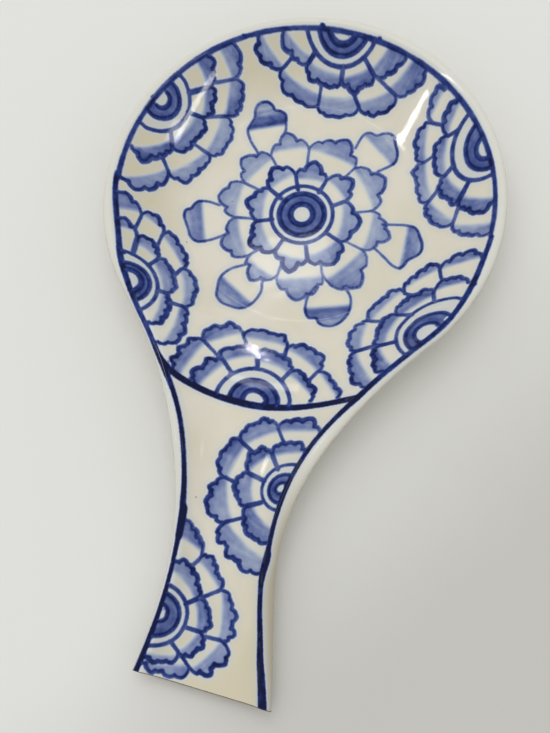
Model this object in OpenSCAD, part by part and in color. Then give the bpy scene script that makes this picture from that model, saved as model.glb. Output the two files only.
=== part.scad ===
// Spoon rest: a round shallow dish that runs out into a flared, open-ended handle trough.
// The origin is at the middle of the foot's sole. +Z is up and the handle runs along -Y.
// Heights are measured from the table. Reaches are measured from the dish's axis.

/* [Dish] */
// Diameter of the dish over its rounded lip
dish_d = 140; // [120:1:170]
// Height of the lip's crown above the table
rim_h = 23; // [19:0.5:30]
// Diameter of the flat floor inside the dish
floor_d = 85; // [75:1:100]
// Steepness of every wall where it meets the lip, in degrees
lip_slope = 44; // [30:1:55]

/* [Clay and glaze] */
// Thickness of the fired clay
clay_t = 3.9; // [3:0.1:5]
// Thickness of the glassy coat on each side of the clay
glaze_t = 0.35; // [0.2:0.05:0.6]

/* [Foot] */
// How far the foot ring's outside lies in from the edge of the dish's flat underside
foot_in = 2.5; // [1:0.5:8]
// Width of the foot ring
foot_w = 5; // [3:0.5:8]
// Height of the foot ring below the dish
foot_h = 2.5; // [1.5:0.1:4]
// Radius of the foot ring's two rubbed edges
foot_round = 0.8; // [0.3:0.1:1.2]

/* [Handle] */
// Length of the handle beyond the dish's circle
handle_l = 98; // [85:1:130]
// Distance from the dish's circle to the narrowest place of the handle
neck_out = 56; // [45:1:70]
// Width of the handle at its narrowest place, over the lips
neck_w = 35.4; // [30:0.2:48]
// Width of the handle at its cut end, over the lips
end_w = 46.6; // [36:0.2:60]
// Angle off the handle's line at which the outline leaves the dish's circle, in degrees
sweep_a = 49; // [40:1:58]
// Distance from the dish's circle to the crest between dish and trough
crest_out = 4; // [0:0.5:9]
// Height of that crest above the dish's floor
crest_rise = 5.5; // [3:0.5:9]
// Distance from the dish's circle to the luted seam of dish and handle
seam_out = 12; // [10:0.5:20]
// Height of the side lips' crowns above the table at the cut end
end_lip_h = 9; // [8:0.5:14]
// Height of the handle's underside above the table at the cut end
end_gap = 0.8; // [0.4:0.1:1.6]
// How far the hand-shaped handle wanders to either side of its line
handle_sway = 1.4; // [0:0.1:3]
// Angle by which the cut end is off square, in degrees
end_skew = 3.5; // [0:0.5:8]

/* [Hidden] */

// Steps along the outline on one side: circle, first and second part of the sweep, handle
circle_steps = 20;
sweep_steps = 6;
mouth_steps = 5;
handle_steps = 13;
// Steps across a wall, round the lip and round an edge of the foot
wall_steps = 10;
lip_steps = 9;
foot_steps = 5;
foot_facets = 96;

// Share of the sweep that fans out from the floor's circle
fan_share = 0.45;
// Powers of the handle's flare and of the way its sway eases in
flare_power = 1.4;
sway_power = 6;
// Turn of the sway's wave over the handle, in degrees
sway_turn = 270;
// Distance from the dish's circle, inwards, at which the sway starts
sway_in = 7;
// Small step for measuring slopes
probe = 0.01;

dish_r = dish_d / 2;
floor_r = floor_d / 2;
wall_t = clay_t + 2 * glaze_t;
lip_r = wall_t / 2;
lip_tan = tan(lip_slope);
// Width that the lip takes off the wall, and how far its crown stands over the wall's top
lip_in = lip_r * (1 + sin(lip_slope));
lip_up = lip_r * (1 - cos(lip_slope));
floor_z = foot_h + clay_t + glaze_t;

// The dish's wall: a parabola from the floor's edge up to the lip
wall_rise = rim_h - lip_up - floor_z;
wall_run = dish_r - lip_in - floor_r;
start_tan = max(0, 2 * wall_rise / wall_run - lip_tan);
wall_w = 2 * wall_rise / (start_tan + lip_tan);

// Reaches along the handle's line
sweep_t = dish_r * cos(sweep_a);
crest_t = dish_r + crest_out;
seam_t = dish_r + seam_out;
neck_t = dish_r + neck_out;
end_t = dish_r + handle_l;
sway_t = dish_r - sway_in;
crest_z = floor_z + crest_rise;
end_z = end_gap + wall_t;

function ease(w) = w * w * (3 - 2 * w);
function part_way(t, a, b) = min(1, max(0, (t - a) / (b - a)));

// Half width of the outline at reach t
sweep_half = dish_r * sin(sweep_a);
sweep_fall = -sweep_t / sweep_half;
function circle_half(t) = sqrt(dish_r * dish_r - t * t);
function sweep_curve(w, run) =
    sweep_half * (1 - ease(w)) + sweep_fall * run * w * (1 - w) * (1 - w) + neck_w / 2 * ease(w);
function flare(w) = neck_w / 2 + (end_w - neck_w) / 2 * pow(w, flare_power);
function half_width(t) =
    t <= sweep_t ? circle_half(t)
    : t <= neck_t ? sweep_curve(part_way(t, sweep_t, neck_t), neck_t - sweep_t)
    : flare(part_way(t, neck_t, end_t));
function half_slope(t) = (half_width(t + probe) - half_width(t - probe)) / (2 * probe);

// Sideways wander of the handle's line at reach t
function sway_wave(w) = -handle_sway * sin(sway_turn * w) * (1 - pow(1 - w, sway_power));
function sway(t) = sway_wave(part_way(t, sway_t, end_t));

// Height of the lip's crown at reach t, of the floor along the handle's line at radius r,
// and of the dish's own wall at radius r
function crown_z(t) = rim_h + (end_lip_h - rim_h) * ease(part_way(t, sweep_t, end_t));
function mouth_z(w) = floor_z + crest_rise * w * (2 - w);
function spine_z(r) =
    r <= crest_t ? mouth_z(part_way(r, floor_r, crest_t))
    : crest_z + (end_z - crest_z) * ease(part_way(r, crest_t, end_t));
function wall_z(in) =
    in >= wall_w ? floor_z
    : rim_h - lip_up - lip_tan * in + (lip_tan - start_tan) / (2 * wall_w) * in * in;

// Height of a trough's side, a distance in from the lip, over a floor at height z
function side_rise(h, in) = in >= 2 * h / lip_tan ? 0 : pow(lip_tan * in - 2 * h, 2) / (4 * h);
function trough_z(z, crown, in) = z + side_rise(max(glaze_t, crown - lip_up - z), in);
function inside_z(p, crown, in) =
    let (r = norm(p))
    min(wall_z(dish_r - lip_in - r), trough_z(spine_z(r), crown, in));

// A station is where the surface is cut from its inner line out to the outline: its start,
// its direction, its stretch against a square cut, its square width and the crown's height
function station(start, edge, out, crown) =
    let (run = norm(edge - start))
    let (dir = (edge - start) / run)
    let (stretch = 1 / (dir * out))
    [start, dir, stretch, run / stretch, crown];
function ring_point(a, side) = floor_r * [side * sin(a), -cos(a)];
function outline_point(t, side) = [sway(t) + side * half_width(t), -t];
function outline_normal(t, side) =
    let (n = [side, half_slope(t)])
    n / norm(n);

function circle_station(a, side) =
    let (out = [side * sin(a), -cos(a)])
    station(floor_r * out, dish_r * out, out, rim_h);
function sweep_station(start, w, side) =
    let (t = sweep_t + w * (seam_t - sweep_t))
    station(start, outline_point(t, side), outline_normal(t, side), crown_z(t));
function fan_station(w, side) = sweep_station(ring_point(sweep_a * (1 - w), side), w * fan_share, side);
function mouth_station(w, side) =
    let (t = floor_r + w * (seam_t - floor_r))
    sweep_station([sway(t), -t], fan_share + w * (1 - fan_share), side);
function handle_station(w, side) =
    let (t = seam_t + w * (end_t - seam_t))
    let (half = half_width(t))
    let (cut = side * half * tan(end_skew) * w)
    station([sway(t), -t], [sway(t) + side * half, -t - cut], outline_normal(t, side), crown_z(t));

// Stations of one side, from the far side of the dish to the seam, and of the handle
function dish_side(side) = [
    for (k = [0 : circle_steps - 1]) circle_station(180 - (180 - sweep_a) * k / circle_steps, side),
    for (k = [0 : sweep_steps - 1]) fan_station(k / sweep_steps, side),
    for (k = [0 : mouth_steps]) mouth_station(k / mouth_steps, side)
];
function handle_side(side) = [for (k = [0 : handle_steps]) handle_station(k / handle_steps, side)];

// A cut through the wall at a station, as points [distance in plan, height]. skin is 0 on the
// glaze's surface and glaze_t on the clay's. The lip's points turn from the wall's upper face
// to its lower face.
function upper_z(s, x) = inside_z(s[0] + s[1] * s[2] * x, s[4], s[3] - lip_in - x);
function upper_normal(s, x) =
    let (rise = (upper_z(s, x + probe) - upper_z(s, x - probe)) / (2 * probe))
    let (n = [-rise, 1])
    x <= 0 ? [0, 1] : n / norm(n);
function upper_at(s, k, depth) =
    let (x = (s[3] - lip_in) * k / wall_steps)
    [x, upper_z(s, x)] - depth * (k == wall_steps ? [-sin(lip_slope), cos(lip_slope)] : upper_normal(s, x));
function lip_at(s, k, skin) =
    let (mid = upper_at(s, wall_steps, lip_r))
    let (a = 90 + lip_slope - 180 * k / lip_steps)
    mid + (lip_r - skin) * [cos(a), sin(a)];
function cut_points(s, skin) = [
    for (k = [0 : wall_steps]) upper_at(s, k, skin),
    for (k = [1 : lip_steps - 1]) lip_at(s, k, skin),
    for (k = [wall_steps : -1 : 0]) upper_at(s, k, wall_t - skin)
];
function cut_in_space(s, skin) = [
    for (p = cut_points(s, skin))
    let (q = s[0] + s[1] * s[2] * p[0])
    [q[0], q[1], p[1]]
];
cut_n = 2 * wall_steps + lip_steps + 1;

// Stations round the whole outline, from the right of the cut end to the left of it
function backwards(list) = [for (k = [len(list) - 1 : -1 : 0]) list[k]];
function after_first(list) = [for (k = [1 : len(list) - 1]) list[k]];
right_dish = backwards(dish_side(1));
left_dish = after_first(dish_side(-1));
right_handle = backwards(after_first(handle_side(1)));
left_handle = after_first(handle_side(-1));
dish_stations = concat(right_dish, left_dish);
all_stations = concat(right_handle, dish_stations, left_handle);

// A grid of points with one row for each station. On the handle's line the left rows share
// the right rows' first and last points, so that the two sides meet in one line.
function grid_index(i, j, rows, lone) =
    (j == 0 || j == cut_n - 1) && i >= rows - lone ? (rows - 1 - i) * cut_n + j : i * cut_n + j;
function quad(a, b, c, d) = [[a, b, c], [a, c, d]];
function flip(faces) = [for (f = faces) [f[2], f[1], f[0]]];
function shift(faces, by) = [for (f = faces) [f[0] + by, f[1] + by, f[2] + by]];
function joined(lists) = [for (l = lists) for (f = l) f];

function skin_faces(first, last, rows, lone) = joined([
    for (i = [first : last - 1])
    for (j = [0 : cut_n - 2])
    quad(
        grid_index(i, j, rows, lone),
        grid_index(i + 1, j, rows, lone),
        grid_index(i + 1, j + 1, rows, lone),
        grid_index(i, j + 1, rows, lone)
    )
]);
// The flat floor: triangles from its middle to the rows that start on its circle
function floor_faces(rows, lone, j, mid) = [
    for (i = [lone - 1 : rows - lone - 1])
    [mid, grid_index(i + 1, j, rows, lone), grid_index(i, j, rows, lone)]
];
// The wall's cut face at row i, as strips from its upper to its lower face
function cut_faces(i, rows, lone) = joined([
    for (j = [0 : cut_n / 2 - 2])
    quad(
        grid_index(i, j, rows, lone),
        grid_index(i, j + 1, rows, lone),
        grid_index(i, cut_n - 2 - j, rows, lone),
        grid_index(i, cut_n - 1 - j, rows, lone)
    )
]);

module dish_body() {
    rows = len(dish_stations);
    lone = mouth_steps + 1;
    mid = rows * cut_n;
    points = concat(
        joined([for (s = dish_stations) cut_in_space(s, glaze_t)]),
        [[0, 0, floor_z - glaze_t], [0, 0, foot_h]]
    );
    faces = concat(
        skin_faces(0, rows - 1, rows, lone),
        floor_faces(rows, lone, 0, mid),
        flip(floor_faces(rows, lone, cut_n - 1, mid + 1)),
        cut_faces(0, rows, lone),
        flip(cut_faces(rows - 1, rows, lone))
    );
    color("#cbb99a") polyhedron(points, faces);
}

module handle_trough() {
    right = backwards(handle_side(1));
    left = handle_side(-1);
    per = len(left);
    rows = 2 * per;
    points = joined([for (s = concat(right, left)) cut_in_space(s, glaze_t)]);
    faces = concat(
        skin_faces(0, per - 1, rows, per),
        skin_faces(per, rows - 1, rows, per),
        cut_faces(0, rows, per),
        flip(cut_faces(rows - 1, rows, per)),
        flip(cut_faces(per - 1, rows, per)),
        cut_faces(per, rows, per)
    );
    color("#c4b193") polyhedron(points, faces);
}

module foot_ring() {
    outer = floor_r - foot_in;
    inner = outer - foot_w;
    color("#b08a63")
    rotate_extrude($fn = foot_facets)
    polygon(concat(
        [[inner, foot_h]],
        [for (k = [0 : foot_steps]) foot_edge(inner + foot_round, 180 + 90 * k / foot_steps)],
        [for (k = [0 : foot_steps]) foot_edge(outer - foot_round, 270 + 90 * k / foot_steps)],
        [[outer, foot_h]]
    ));
}
function foot_edge(x, a) = [x, foot_round] + foot_round * [cos(a), sin(a)];

module glaze_coat() {
    rows = len(all_stations);
    lone = mouth_steps + 1 + handle_steps;
    skin = rows * cut_n;
    mid = 2 * skin;
    points = concat(
        joined([for (s = all_stations) cut_in_space(s, 0)]),
        joined([for (s = all_stations) cut_in_space(s, glaze_t)]),
        [[0, 0, floor_z], [0, 0, floor_z - glaze_t]]
    );
    inner = concat(
        skin_faces(0, rows - 1, rows, lone),
        floor_faces(rows, lone, 0, mid + 1 - skin)
    );
    end_edges = joined([
        for (j = [0 : cut_n - 2])
        concat(
            edge_faces(0, j, 0, j + 1, rows, lone),
            flip(edge_faces(rows - 1, j, rows - 1, j + 1, rows, lone))
        )
    ]);
    foot_edges = joined([
        for (i = [lone - 1 : rows - lone - 1])
        edge_faces(i, cut_n - 1, i + 1, cut_n - 1, rows, lone)
    ]);
    faces = concat(
        skin_faces(0, rows - 1, rows, lone),
        floor_faces(rows, lone, 0, mid),
        flip(shift(inner, skin)),
        end_edges,
        foot_edges
    );
    color("#e9e3d2") polyhedron(points, faces);
}
// The coat's bare edge between two neighbouring points of its grid
function edge_faces(i, j, m, n, rows, lone) =
    let (a = grid_index(i, j, rows, lone))
    let (b = grid_index(m, n, rows, lone))
    let (skin = rows * cut_n)
    quad(a, b, b + skin, a + skin);

dish_body();
handle_trough();
foot_ring();
glaze_coat();
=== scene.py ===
"""Ceramic spoon rest: a round shallow dish that runs out into a flared, open-ended handle trough.

Laid out as a Blender add-on and run as a script. Every piece is made in metres in the CAD model's
frame: the origin is the middle of the foot's sole, +Z is up and the handle runs along -Y.
"""
import math
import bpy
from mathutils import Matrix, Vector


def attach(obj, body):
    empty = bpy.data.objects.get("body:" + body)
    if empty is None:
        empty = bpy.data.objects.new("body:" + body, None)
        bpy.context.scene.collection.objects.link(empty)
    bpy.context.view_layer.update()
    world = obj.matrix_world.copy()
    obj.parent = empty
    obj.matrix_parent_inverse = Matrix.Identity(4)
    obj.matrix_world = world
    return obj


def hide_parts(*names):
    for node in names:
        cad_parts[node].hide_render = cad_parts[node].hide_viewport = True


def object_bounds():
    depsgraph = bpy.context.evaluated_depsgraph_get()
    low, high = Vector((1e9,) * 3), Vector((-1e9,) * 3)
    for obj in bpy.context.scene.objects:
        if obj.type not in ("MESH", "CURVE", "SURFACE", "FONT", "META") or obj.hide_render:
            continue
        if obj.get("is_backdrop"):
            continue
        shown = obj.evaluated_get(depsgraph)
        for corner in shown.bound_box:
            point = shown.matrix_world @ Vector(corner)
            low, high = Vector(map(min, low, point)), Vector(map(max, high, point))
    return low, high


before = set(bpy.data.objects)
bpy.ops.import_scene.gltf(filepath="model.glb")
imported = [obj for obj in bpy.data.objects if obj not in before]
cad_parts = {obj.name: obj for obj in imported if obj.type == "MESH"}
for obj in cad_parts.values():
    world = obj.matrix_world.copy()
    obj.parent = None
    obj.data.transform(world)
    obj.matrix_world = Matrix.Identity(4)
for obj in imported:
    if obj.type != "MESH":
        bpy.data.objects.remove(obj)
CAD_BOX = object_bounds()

from types import SimpleNamespace

import bpy
import numpy as np
from bpy.props import FloatProperty, FloatVectorProperty, PointerProperty
from mathutils import Matrix, Vector

bl_info = {
    "name": "Spoon rest",
    "version": (1, 0, 0),
    "blender": (4, 5, 0),
    "location": "3D View > Sidebar > Spoon rest",
    "description": "Glazed, hand painted ceramic spoon rest on a studio floor",
    "category": "Object",
}

MM = 0.001
BODY = "root"
IMAGE_WIDTH = 550
CAD_LOW = Vector(CAD_BOX[0]) / MM
CAD_HIGH = Vector(CAD_BOX[1]) / MM


def linear(hex_code):
    """The scene's linear colour, with full alpha, of an sRGB hex value."""
    parts = [int(hex_code[i : i + 2], 16) / 255 for i in (1, 3, 5)]
    return [c / 12.92 if c <= 0.04045 else ((c + 0.055) / 1.055) ** 2.4 for c in parts] + [1.0]


# Sizes and colours


def length(name, description, default_mm):
    return FloatProperty(name=name, description=description, default=default_mm * MM, unit="LENGTH")


def angle(name, description, default_degrees):
    return FloatProperty(name=name, description=description, default=math.radians(default_degrees),
                         subtype="ANGLE")


def colour(name, description, hex_code):
    return FloatVectorProperty(name=name, description=description, size=4, subtype="COLOR", min=0, max=1,
                               default=linear(hex_code))


class SpoonRestSizes(bpy.types.PropertyGroup):
    """Sizes of the fired piece, the same as the CAD model's, and how the glaze pools."""

    dish_radius: length("Dish radius", "Radius of the dish over its lip", min(CAD_HIGH.x, -CAD_LOW.x))
    rim_height: length("Rim height", "Height of the lip's crown above the table", CAD_HIGH.z)
    floor_radius: length("Floor radius", "Radius of the flat floor inside the dish", 42.5)
    lip_slope: angle("Lip slope", "Steepness of the walls where they meet the lip", 44)
    clay: length("Clay", "Thickness of the fired clay", 3.9)
    glaze: length("Glaze", "Thickness of the glassy coat", 0.35)
    foot_outside: length("Foot outside", "Outer radius of the foot ring", 40)
    foot_width: length("Foot width", "Width of the foot ring", 5)
    foot_height: length("Foot height", "Height of the foot ring below the dish", 2.5)
    foot_round: length("Foot rounding", "Radius of the foot's rubbed edges", 0.8)
    handle_reach: length("Handle reach", "Reach of the cut end from the dish's axis", 167.99)
    neck_reach: length("Neck reach", "Reach of the narrowest place from the dish's axis", 126)
    neck_width: length("Neck width", "Width of the handle at its narrowest place", 35.4)
    end_width: length("End width", "Width of the handle at its cut end", 46.6)
    sweep_angle: angle("Sweep angle", "Angle at which the outline leaves the dish's circle", 49)
    crest_reach: length("Crest reach", "Reach of the crest between dish and trough", 74)
    crest_rise: length("Crest rise", "Height of that crest above the dish's floor", 5.5)
    seam_reach: length("Seam reach", "Reach of the luted seam", 82)
    end_lip: length("End lip", "Height of the side lips at the cut end", 9)
    end_gap: length("End gap", "Height of the underside at the cut end", 0.8)
    sway: length("Sway", "How far the hand-shaped handle wanders off its line", 1.4)
    end_skew: angle("End skew", "Angle by which the cut end is off square", 3.5)
    pooling: length("Pooling", "How softly the glaze fills the crease round the floor", 0.3)


class SpoonRestBrush(bpy.types.PropertyGroup):
    """Widths and habits of the painter's brush."""

    line: length("Petal edge", "Width of the lines round a petal's scalloped edge", 1.3)
    side_line: length("Petal side", "Width of the lines between petals", 1.45)
    border: length("Border", "Width of the line round the dish", 1.35)
    scallop: length("Scallop", "Depth of the dips between a petal's lobes", 0.5)
    inner_notch: length("Inner notch", "Depth of the notch between two inner petals", 2.2)
    outer_notch: length("Outer notch", "Depth of the notch between two outer petals", 2.6)
    wash_soft: length("Wash edge", "Width over which the wash fades out", 1.6)


class SpoonRestColours(bpy.types.PropertyGroup):
    """Colours of the glaze, the painting and the clay."""

    glaze: colour("Glaze", "Cream glaze over the pale clay", "#ded9ca")
    # Yellower where the glaze lies thicker, and darker as painted shade on the dish's far left wall and
    # towards the handle's end.
    glaze_warm_and_shade: colour("Warm glaze", "Glaze where it lies thicker", "#d0c8af")
    glaze_lip: colour("Lip glaze", "Glaze where it runs thin over the lip", "#dbdad0")
    # Painted shade: a darker band where the lip rolls over and down round the outer rim.
    glaze_rim_shade: colour("Rim glaze", "Glaze so thin round the outer rim that the clay shows", "#aaa08b")
    # Painted shade: the handle's right lip, which faces away from the light, drawn darker towards the cut
    # end.
    glaze_lip_shade: colour("Grey glaze", "Glaze on the handle's side lips, thin and greyed by use", "#a9a290")
    broken: colour("Broken glaze", "Dark clay where the glaze breaks along the cut", "#4c4036")
    wash_thin: colour("Thinnest wash", "Cobalt that has bled into the glaze", "#c4cbcd")
    wash: colour("Wash", "Cobalt thinned with much water", "#96a1bc")
    wash_full: colour("Full wash", "Cobalt thinned with little water", "#6a78a6")
    line_thin: colour("Thin line", "Edge of a brushed line", "#4f5e92")
    line: colour("Line", "Brushed cobalt line", "#324380")
    line_full: colour("Full line", "Line brushed with a loaded brush", "#182a68")
    line_heavy: colour("Heavy line", "Line gone over twice, nearly black", "#0e1438")
    speck: colour("Speck", "Iron speck in the clay", "#6e5a44")
    clay: colour("Clay", "Bare fired clay", "#7d5f43")
    clay_pale: colour("Pale clay", "Paler flashes on the bare clay", "#a98763")
    floor: colour("Studio floor", "Pale matte paper under the piece", "#e0e0dc")
    # Painted shade: the paper drawn darker towards the near right, where the room's light falls off.
    floor_painted_shade: colour("Floor shade", "The paper where it falls into the room's shade", "#c4c3be")


class SpoonRestStage(bpy.types.PropertyGroup):
    """Place and angle of view of the camera."""

    focal_pixels: FloatProperty(name="Focal length", default=1000,
                                description="Focal length in pixels of the photograph")
    camera_at: FloatVectorProperty(name="Camera", description="Place of the camera", size=3,
                                   subtype="TRANSLATION", unit="LENGTH", default=(0.047, -0.144, 0.338))
    tilt_forward: angle("Forward tilt", "Tilt of the camera towards the far rim", 15.6)
    tilt_sideways: angle("Sideways tilt", "Tilt of the camera to the left", 4.5)
    roll: angle("Roll", "Turn of the picture", -12.2)


# The form


def in_mm(group):
    """A property group's lengths in millimetres and its angles in radians, under their own names."""
    values = {}
    for name in group.__annotations__:
        is_angle = group.bl_rna.properties[name].unit == "ROTATION"
        values[name] = getattr(group, name) / (1 if is_angle else MM)
    return SimpleNamespace(**values)


def eased(w):
    """The share w, from 0 to 1, with a soft start and end."""
    return w * w * (3 - 2 * w)


def part_way(t, a, b):
    """How far t is on its way from a to b, from 0 to 1."""
    return np.clip((t - a) / (b - a), 0, 1)


class Form:
    """The shape in millimetres by the CAD model's rules, at any fineness."""

    # The share of the sweep that is cut from the floor's edge, how the handle flares, how it sways
    # and how far inside the dish that starts, and the step over which slopes are measured.
    FAN_SHARE = 0.45
    FLARE_POWER = 1.4
    SWAY_POWER = 6
    SWAY_TURN = math.radians(270)
    SWAY_IN = 7
    PROBE = 0.01

    # The glaze lies thicker on the wall at the dish's far left, less so towards its foot, and more and more
    # along the handle from a little before its neck. There it is drawn yellower and, as painted shade,
    # darker.
    RUN_WALL, RUN_NECK = 16, 10
    RUN_LEFT, RUN_FAR = 0.75, 0.35
    RUN_FROM, RUN_TO = -6, 30

    # Painted shade lies on the handle's right lip: it fades in across the handle's middle over this half
    # width, and is full this far from its end.
    HELD_SOFT, HELD_END = 6, 40

    def __init__(self, sizes):
        vars(self).update(vars(in_mm(sizes)))
        self.wall_t = self.clay + 2 * self.glaze
        self.lip_r = self.wall_t / 2
        self.lip_tan = math.tan(self.lip_slope)
        self.lip_in = self.lip_r * (1 + math.sin(self.lip_slope))
        self.lip_up = self.lip_r * (1 - math.cos(self.lip_slope))
        self.floor_z = self.foot_height + self.clay + self.glaze
        rise = self.rim_height - self.lip_up - self.floor_z
        run = self.dish_radius - self.lip_in - self.floor_radius
        self.start_tan = max(0, 2 * rise / run - self.lip_tan)
        self.wall_w = 2 * rise / (self.start_tan + self.lip_tan)
        self.sweep_t = self.dish_radius * math.cos(self.sweep_angle)
        self.sweep_half = self.dish_radius * math.sin(self.sweep_angle)
        self.sway_t = self.dish_radius - self.SWAY_IN
        self.crest_z = self.floor_z + self.crest_rise
        self.end_z = self.end_gap + self.wall_t

    def half_width(self, t):
        """Half width of the outline at reach t."""
        circle = np.sqrt(np.maximum(self.dish_radius**2 - t * t, 0))
        w = part_way(t, self.sweep_t, self.neck_reach)
        run = self.neck_reach - self.sweep_t
        fall = -self.sweep_t / self.sweep_half
        half_neck = self.neck_width / 2
        sweep = self.sweep_half * (1 - eased(w)) + fall * run * w * (1 - w) ** 2 + half_neck * eased(w)
        w = part_way(t, self.neck_reach, self.handle_reach)
        flare = half_neck + (self.end_width / 2 - half_neck) * w**self.FLARE_POWER
        return np.where(t <= self.sweep_t, circle, np.where(t <= self.neck_reach, sweep, flare))

    def half_slope(self, t):
        return (self.half_width(t + self.PROBE) - self.half_width(t - self.PROBE)) / (2 * self.PROBE)

    def sway_at(self, t):
        """Sideways wander of the handle's line at reach t."""
        w = part_way(t, self.sway_t, self.handle_reach)
        return -self.sway * np.sin(self.SWAY_TURN * w) * (1 - (1 - w) ** self.SWAY_POWER)

    def crown_z(self, t):
        w = eased(part_way(t, self.sweep_t, self.handle_reach))
        return self.rim_height + (self.end_lip - self.rim_height) * w

    def pooled(self, a, b):
        """The higher of two heights, with glaze pooled softly in the crease between them."""
        k = self.pooling
        h = np.maximum(k - np.abs(a - b), 0) / k
        return np.maximum(a, b) + h * h * k / 4

    def spine_z(self, r):
        """Height of the floor along the handle's line at radius r."""
        w = np.minimum((r - self.floor_radius) / (self.crest_reach - self.floor_radius), 1)
        mouth = self.pooled(self.floor_z + self.crest_rise * w * (2 - w), np.full_like(r, self.floor_z))
        down = eased(part_way(r, self.crest_reach, self.handle_reach))
        return np.where(r <= self.crest_reach, mouth, self.crest_z + (self.end_z - self.crest_z) * down)

    def wall_z(self, inward):
        """Height of the dish's wall a distance in from the lip."""
        bow = (self.lip_tan - self.start_tan) / (2 * self.wall_w)
        x = np.minimum(inward, self.wall_w + self.pooling / max(self.start_tan, self.PROBE))
        wall = self.rim_height - self.lip_up - self.lip_tan * x + bow * x * x
        return np.where(inward > x, self.floor_z, self.pooled(wall, np.full_like(x, self.floor_z)))

    def inside_z(self, xy, crown, inward):
        """Height of the upper surface at plan points xy, a distance in from a lip whose crown is known."""
        r = np.hypot(xy[..., 0], xy[..., 1])
        spine = self.spine_z(r)
        depth = np.maximum(self.glaze, crown - self.lip_up - spine)
        bowl = (self.lip_tan * inward - 2 * depth) ** 2 / (4 * depth)
        side = np.where(inward >= 2 * depth / self.lip_tan, 0, bowl)
        return np.minimum(self.wall_z(self.dish_radius - self.lip_in - r), spine + side)

    def glaze_run_and_shade(self, xy):
        """How thickly the glaze lies, from 0 to 1, which also sets painted shade: it ran down the far left
        wall and to the cut end, and both are drawn darker there.
        """
        x, y = xy.T
        wall = part_way(np.hypot(x, y), self.floor_radius, self.floor_radius + self.RUN_WALL)
        wall = wall * (y > -self.sweep_t)
        far_left = part_way(self.RUN_FAR * y - self.RUN_LEFT * x, self.RUN_FROM, self.RUN_TO)
        handle = part_way(-y, self.neck_reach - self.RUN_NECK, self.handle_reach)
        return np.maximum(wall * far_left, handle)

    def right_lip_shade(self, xy):
        """How much painted shade darkens the handle's right lip, which faces away from the light: at the
        right of the handle, towards the cut end.
        """
        towards_end = eased(part_way(-xy[:, 1], self.seam_reach, self.handle_reach - self.HELD_END))
        return towards_end * part_way(xy[:, 0], -self.HELD_SOFT, self.HELD_SOFT)

    def cut_gap(self, xy):
        """Distance in from the cut end."""
        return xy[:, 1] + self.handle_reach + (xy[:, 0] - self.sway) * math.tan(self.end_skew)

    # A station is where the surface is cut from its inner line out to the outline: its start, its
    # direction, its stretch against a square cut, its square width and the height of the lip's crown.

    def station(self, start, edge, out, crown):
        run = np.linalg.norm(edge - start, axis=1)
        direction = (edge - start) / run[:, None]
        stretch = 1 / np.sum(direction * out, 1)
        return start, direction, stretch, run / stretch, crown

    def outline(self, t, side, cut=0):
        """Points of the outline at reach t, and its outward normals."""
        out = np.stack([np.full(len(t), float(side)), self.half_slope(t)], 1)
        out /= np.linalg.norm(out, axis=1)[:, None]
        return np.stack([self.sway_at(t) + side * self.half_width(t), -t - cut], 1), out

    def swept(self, start, w, side):
        t = self.sweep_t + w * (self.seam_reach - self.sweep_t)
        edge, out = self.outline(t, side)
        return self.station(start, edge, out, self.crown_z(t))

    def stations(self, side, circle, sweep, mouth, handle):
        """Stations of one side, from the far side of the dish to the cut end, as five arrays."""
        a = math.pi - (math.pi - self.sweep_angle) * np.arange(circle) / circle
        out = np.stack([side * np.sin(a), -np.cos(a)], 1)
        rim = np.full(circle, self.rim_height)
        ring = self.station(self.floor_radius * out, self.dish_radius * out, out, rim)
        w = np.arange(sweep) / sweep
        a = self.sweep_angle * (1 - w)
        on_floor = self.floor_radius * np.stack([side * np.sin(a), -np.cos(a)], 1)
        fan = self.swept(on_floor, w * self.FAN_SHARE, side)
        w = np.arange(mouth + 1) / mouth
        t = self.floor_radius + w * (self.seam_reach - self.floor_radius)
        gap = self.swept(np.stack([self.sway_at(t), -t], 1), self.FAN_SHARE + w * (1 - self.FAN_SHARE), side)
        w = np.arange(1, handle + 1) / handle
        t = self.seam_reach + w * (self.handle_reach - self.seam_reach)
        edge, out = self.outline(t, side, side * self.half_width(t) * math.tan(self.end_skew) * w)
        trough = self.station(np.stack([self.sway_at(t), -t], 1), edge, out, self.crown_z(t))
        return [np.concatenate(parts) for parts in zip(ring, fan, gap, trough)]

    def all_round(self, circle, sweep, mouth, handle):
        """Stations from the right of the cut end, round the dish, to the left of the cut end."""
        right, left = (self.stations(side, circle, sweep, mouth, handle) for side in (1, -1))
        return [np.concatenate([r[::-1], l[1:]]) for r, l in zip(right, left)]

    def sections(self, stations, skin, wall_steps, lip_steps, under_steps):
        """Points of the cuts at a depth below the glaze's surface: upper face, lip, lower face."""
        start, direction, stretch, width, crown = (s[:, None] for s in stations)
        reach = width - self.lip_in

        def height(x):
            xy = start + (direction * stretch[..., None]) * x[..., None]
            return self.inside_z(xy, crown, width - self.lip_in - x)

        def face(share, depth):
            x = reach * share
            rise = (height(x + self.PROBE) - height(x - self.PROBE)) / (2 * self.PROBE)
            top = share == 1
            rise = np.where(top, self.lip_tan, np.where(share == 0, 0, rise))
            size = np.sqrt(1 + rise * rise)
            return x + depth * rise / size, height(x) - depth / size

        x_up, z_up = face(np.linspace(0, 1, wall_steps + 1)[None, :], skin)
        x_mid, z_mid = face(np.ones((1, 1)), self.lip_r)
        lip_turn = math.pi * np.arange(1, lip_steps)[None, :] / lip_steps
        turn = math.pi / 2 + self.lip_slope - lip_turn
        x_lip = x_mid + (self.lip_r - skin) * np.cos(turn)
        z_lip = z_mid + (self.lip_r - skin) * np.sin(turn)
        x_low, z_low = face(np.linspace(1, 0, under_steps + 1)[None, :], self.wall_t - skin)
        x = np.concatenate([x_up, x_lip, x_low], 1)
        z = np.concatenate([z_up, z_lip, z_low], 1)
        xy = start + (direction * stretch[..., None]) * x[..., None]
        return np.concatenate([xy, z[..., None]], 2)


# Meshes


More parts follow.
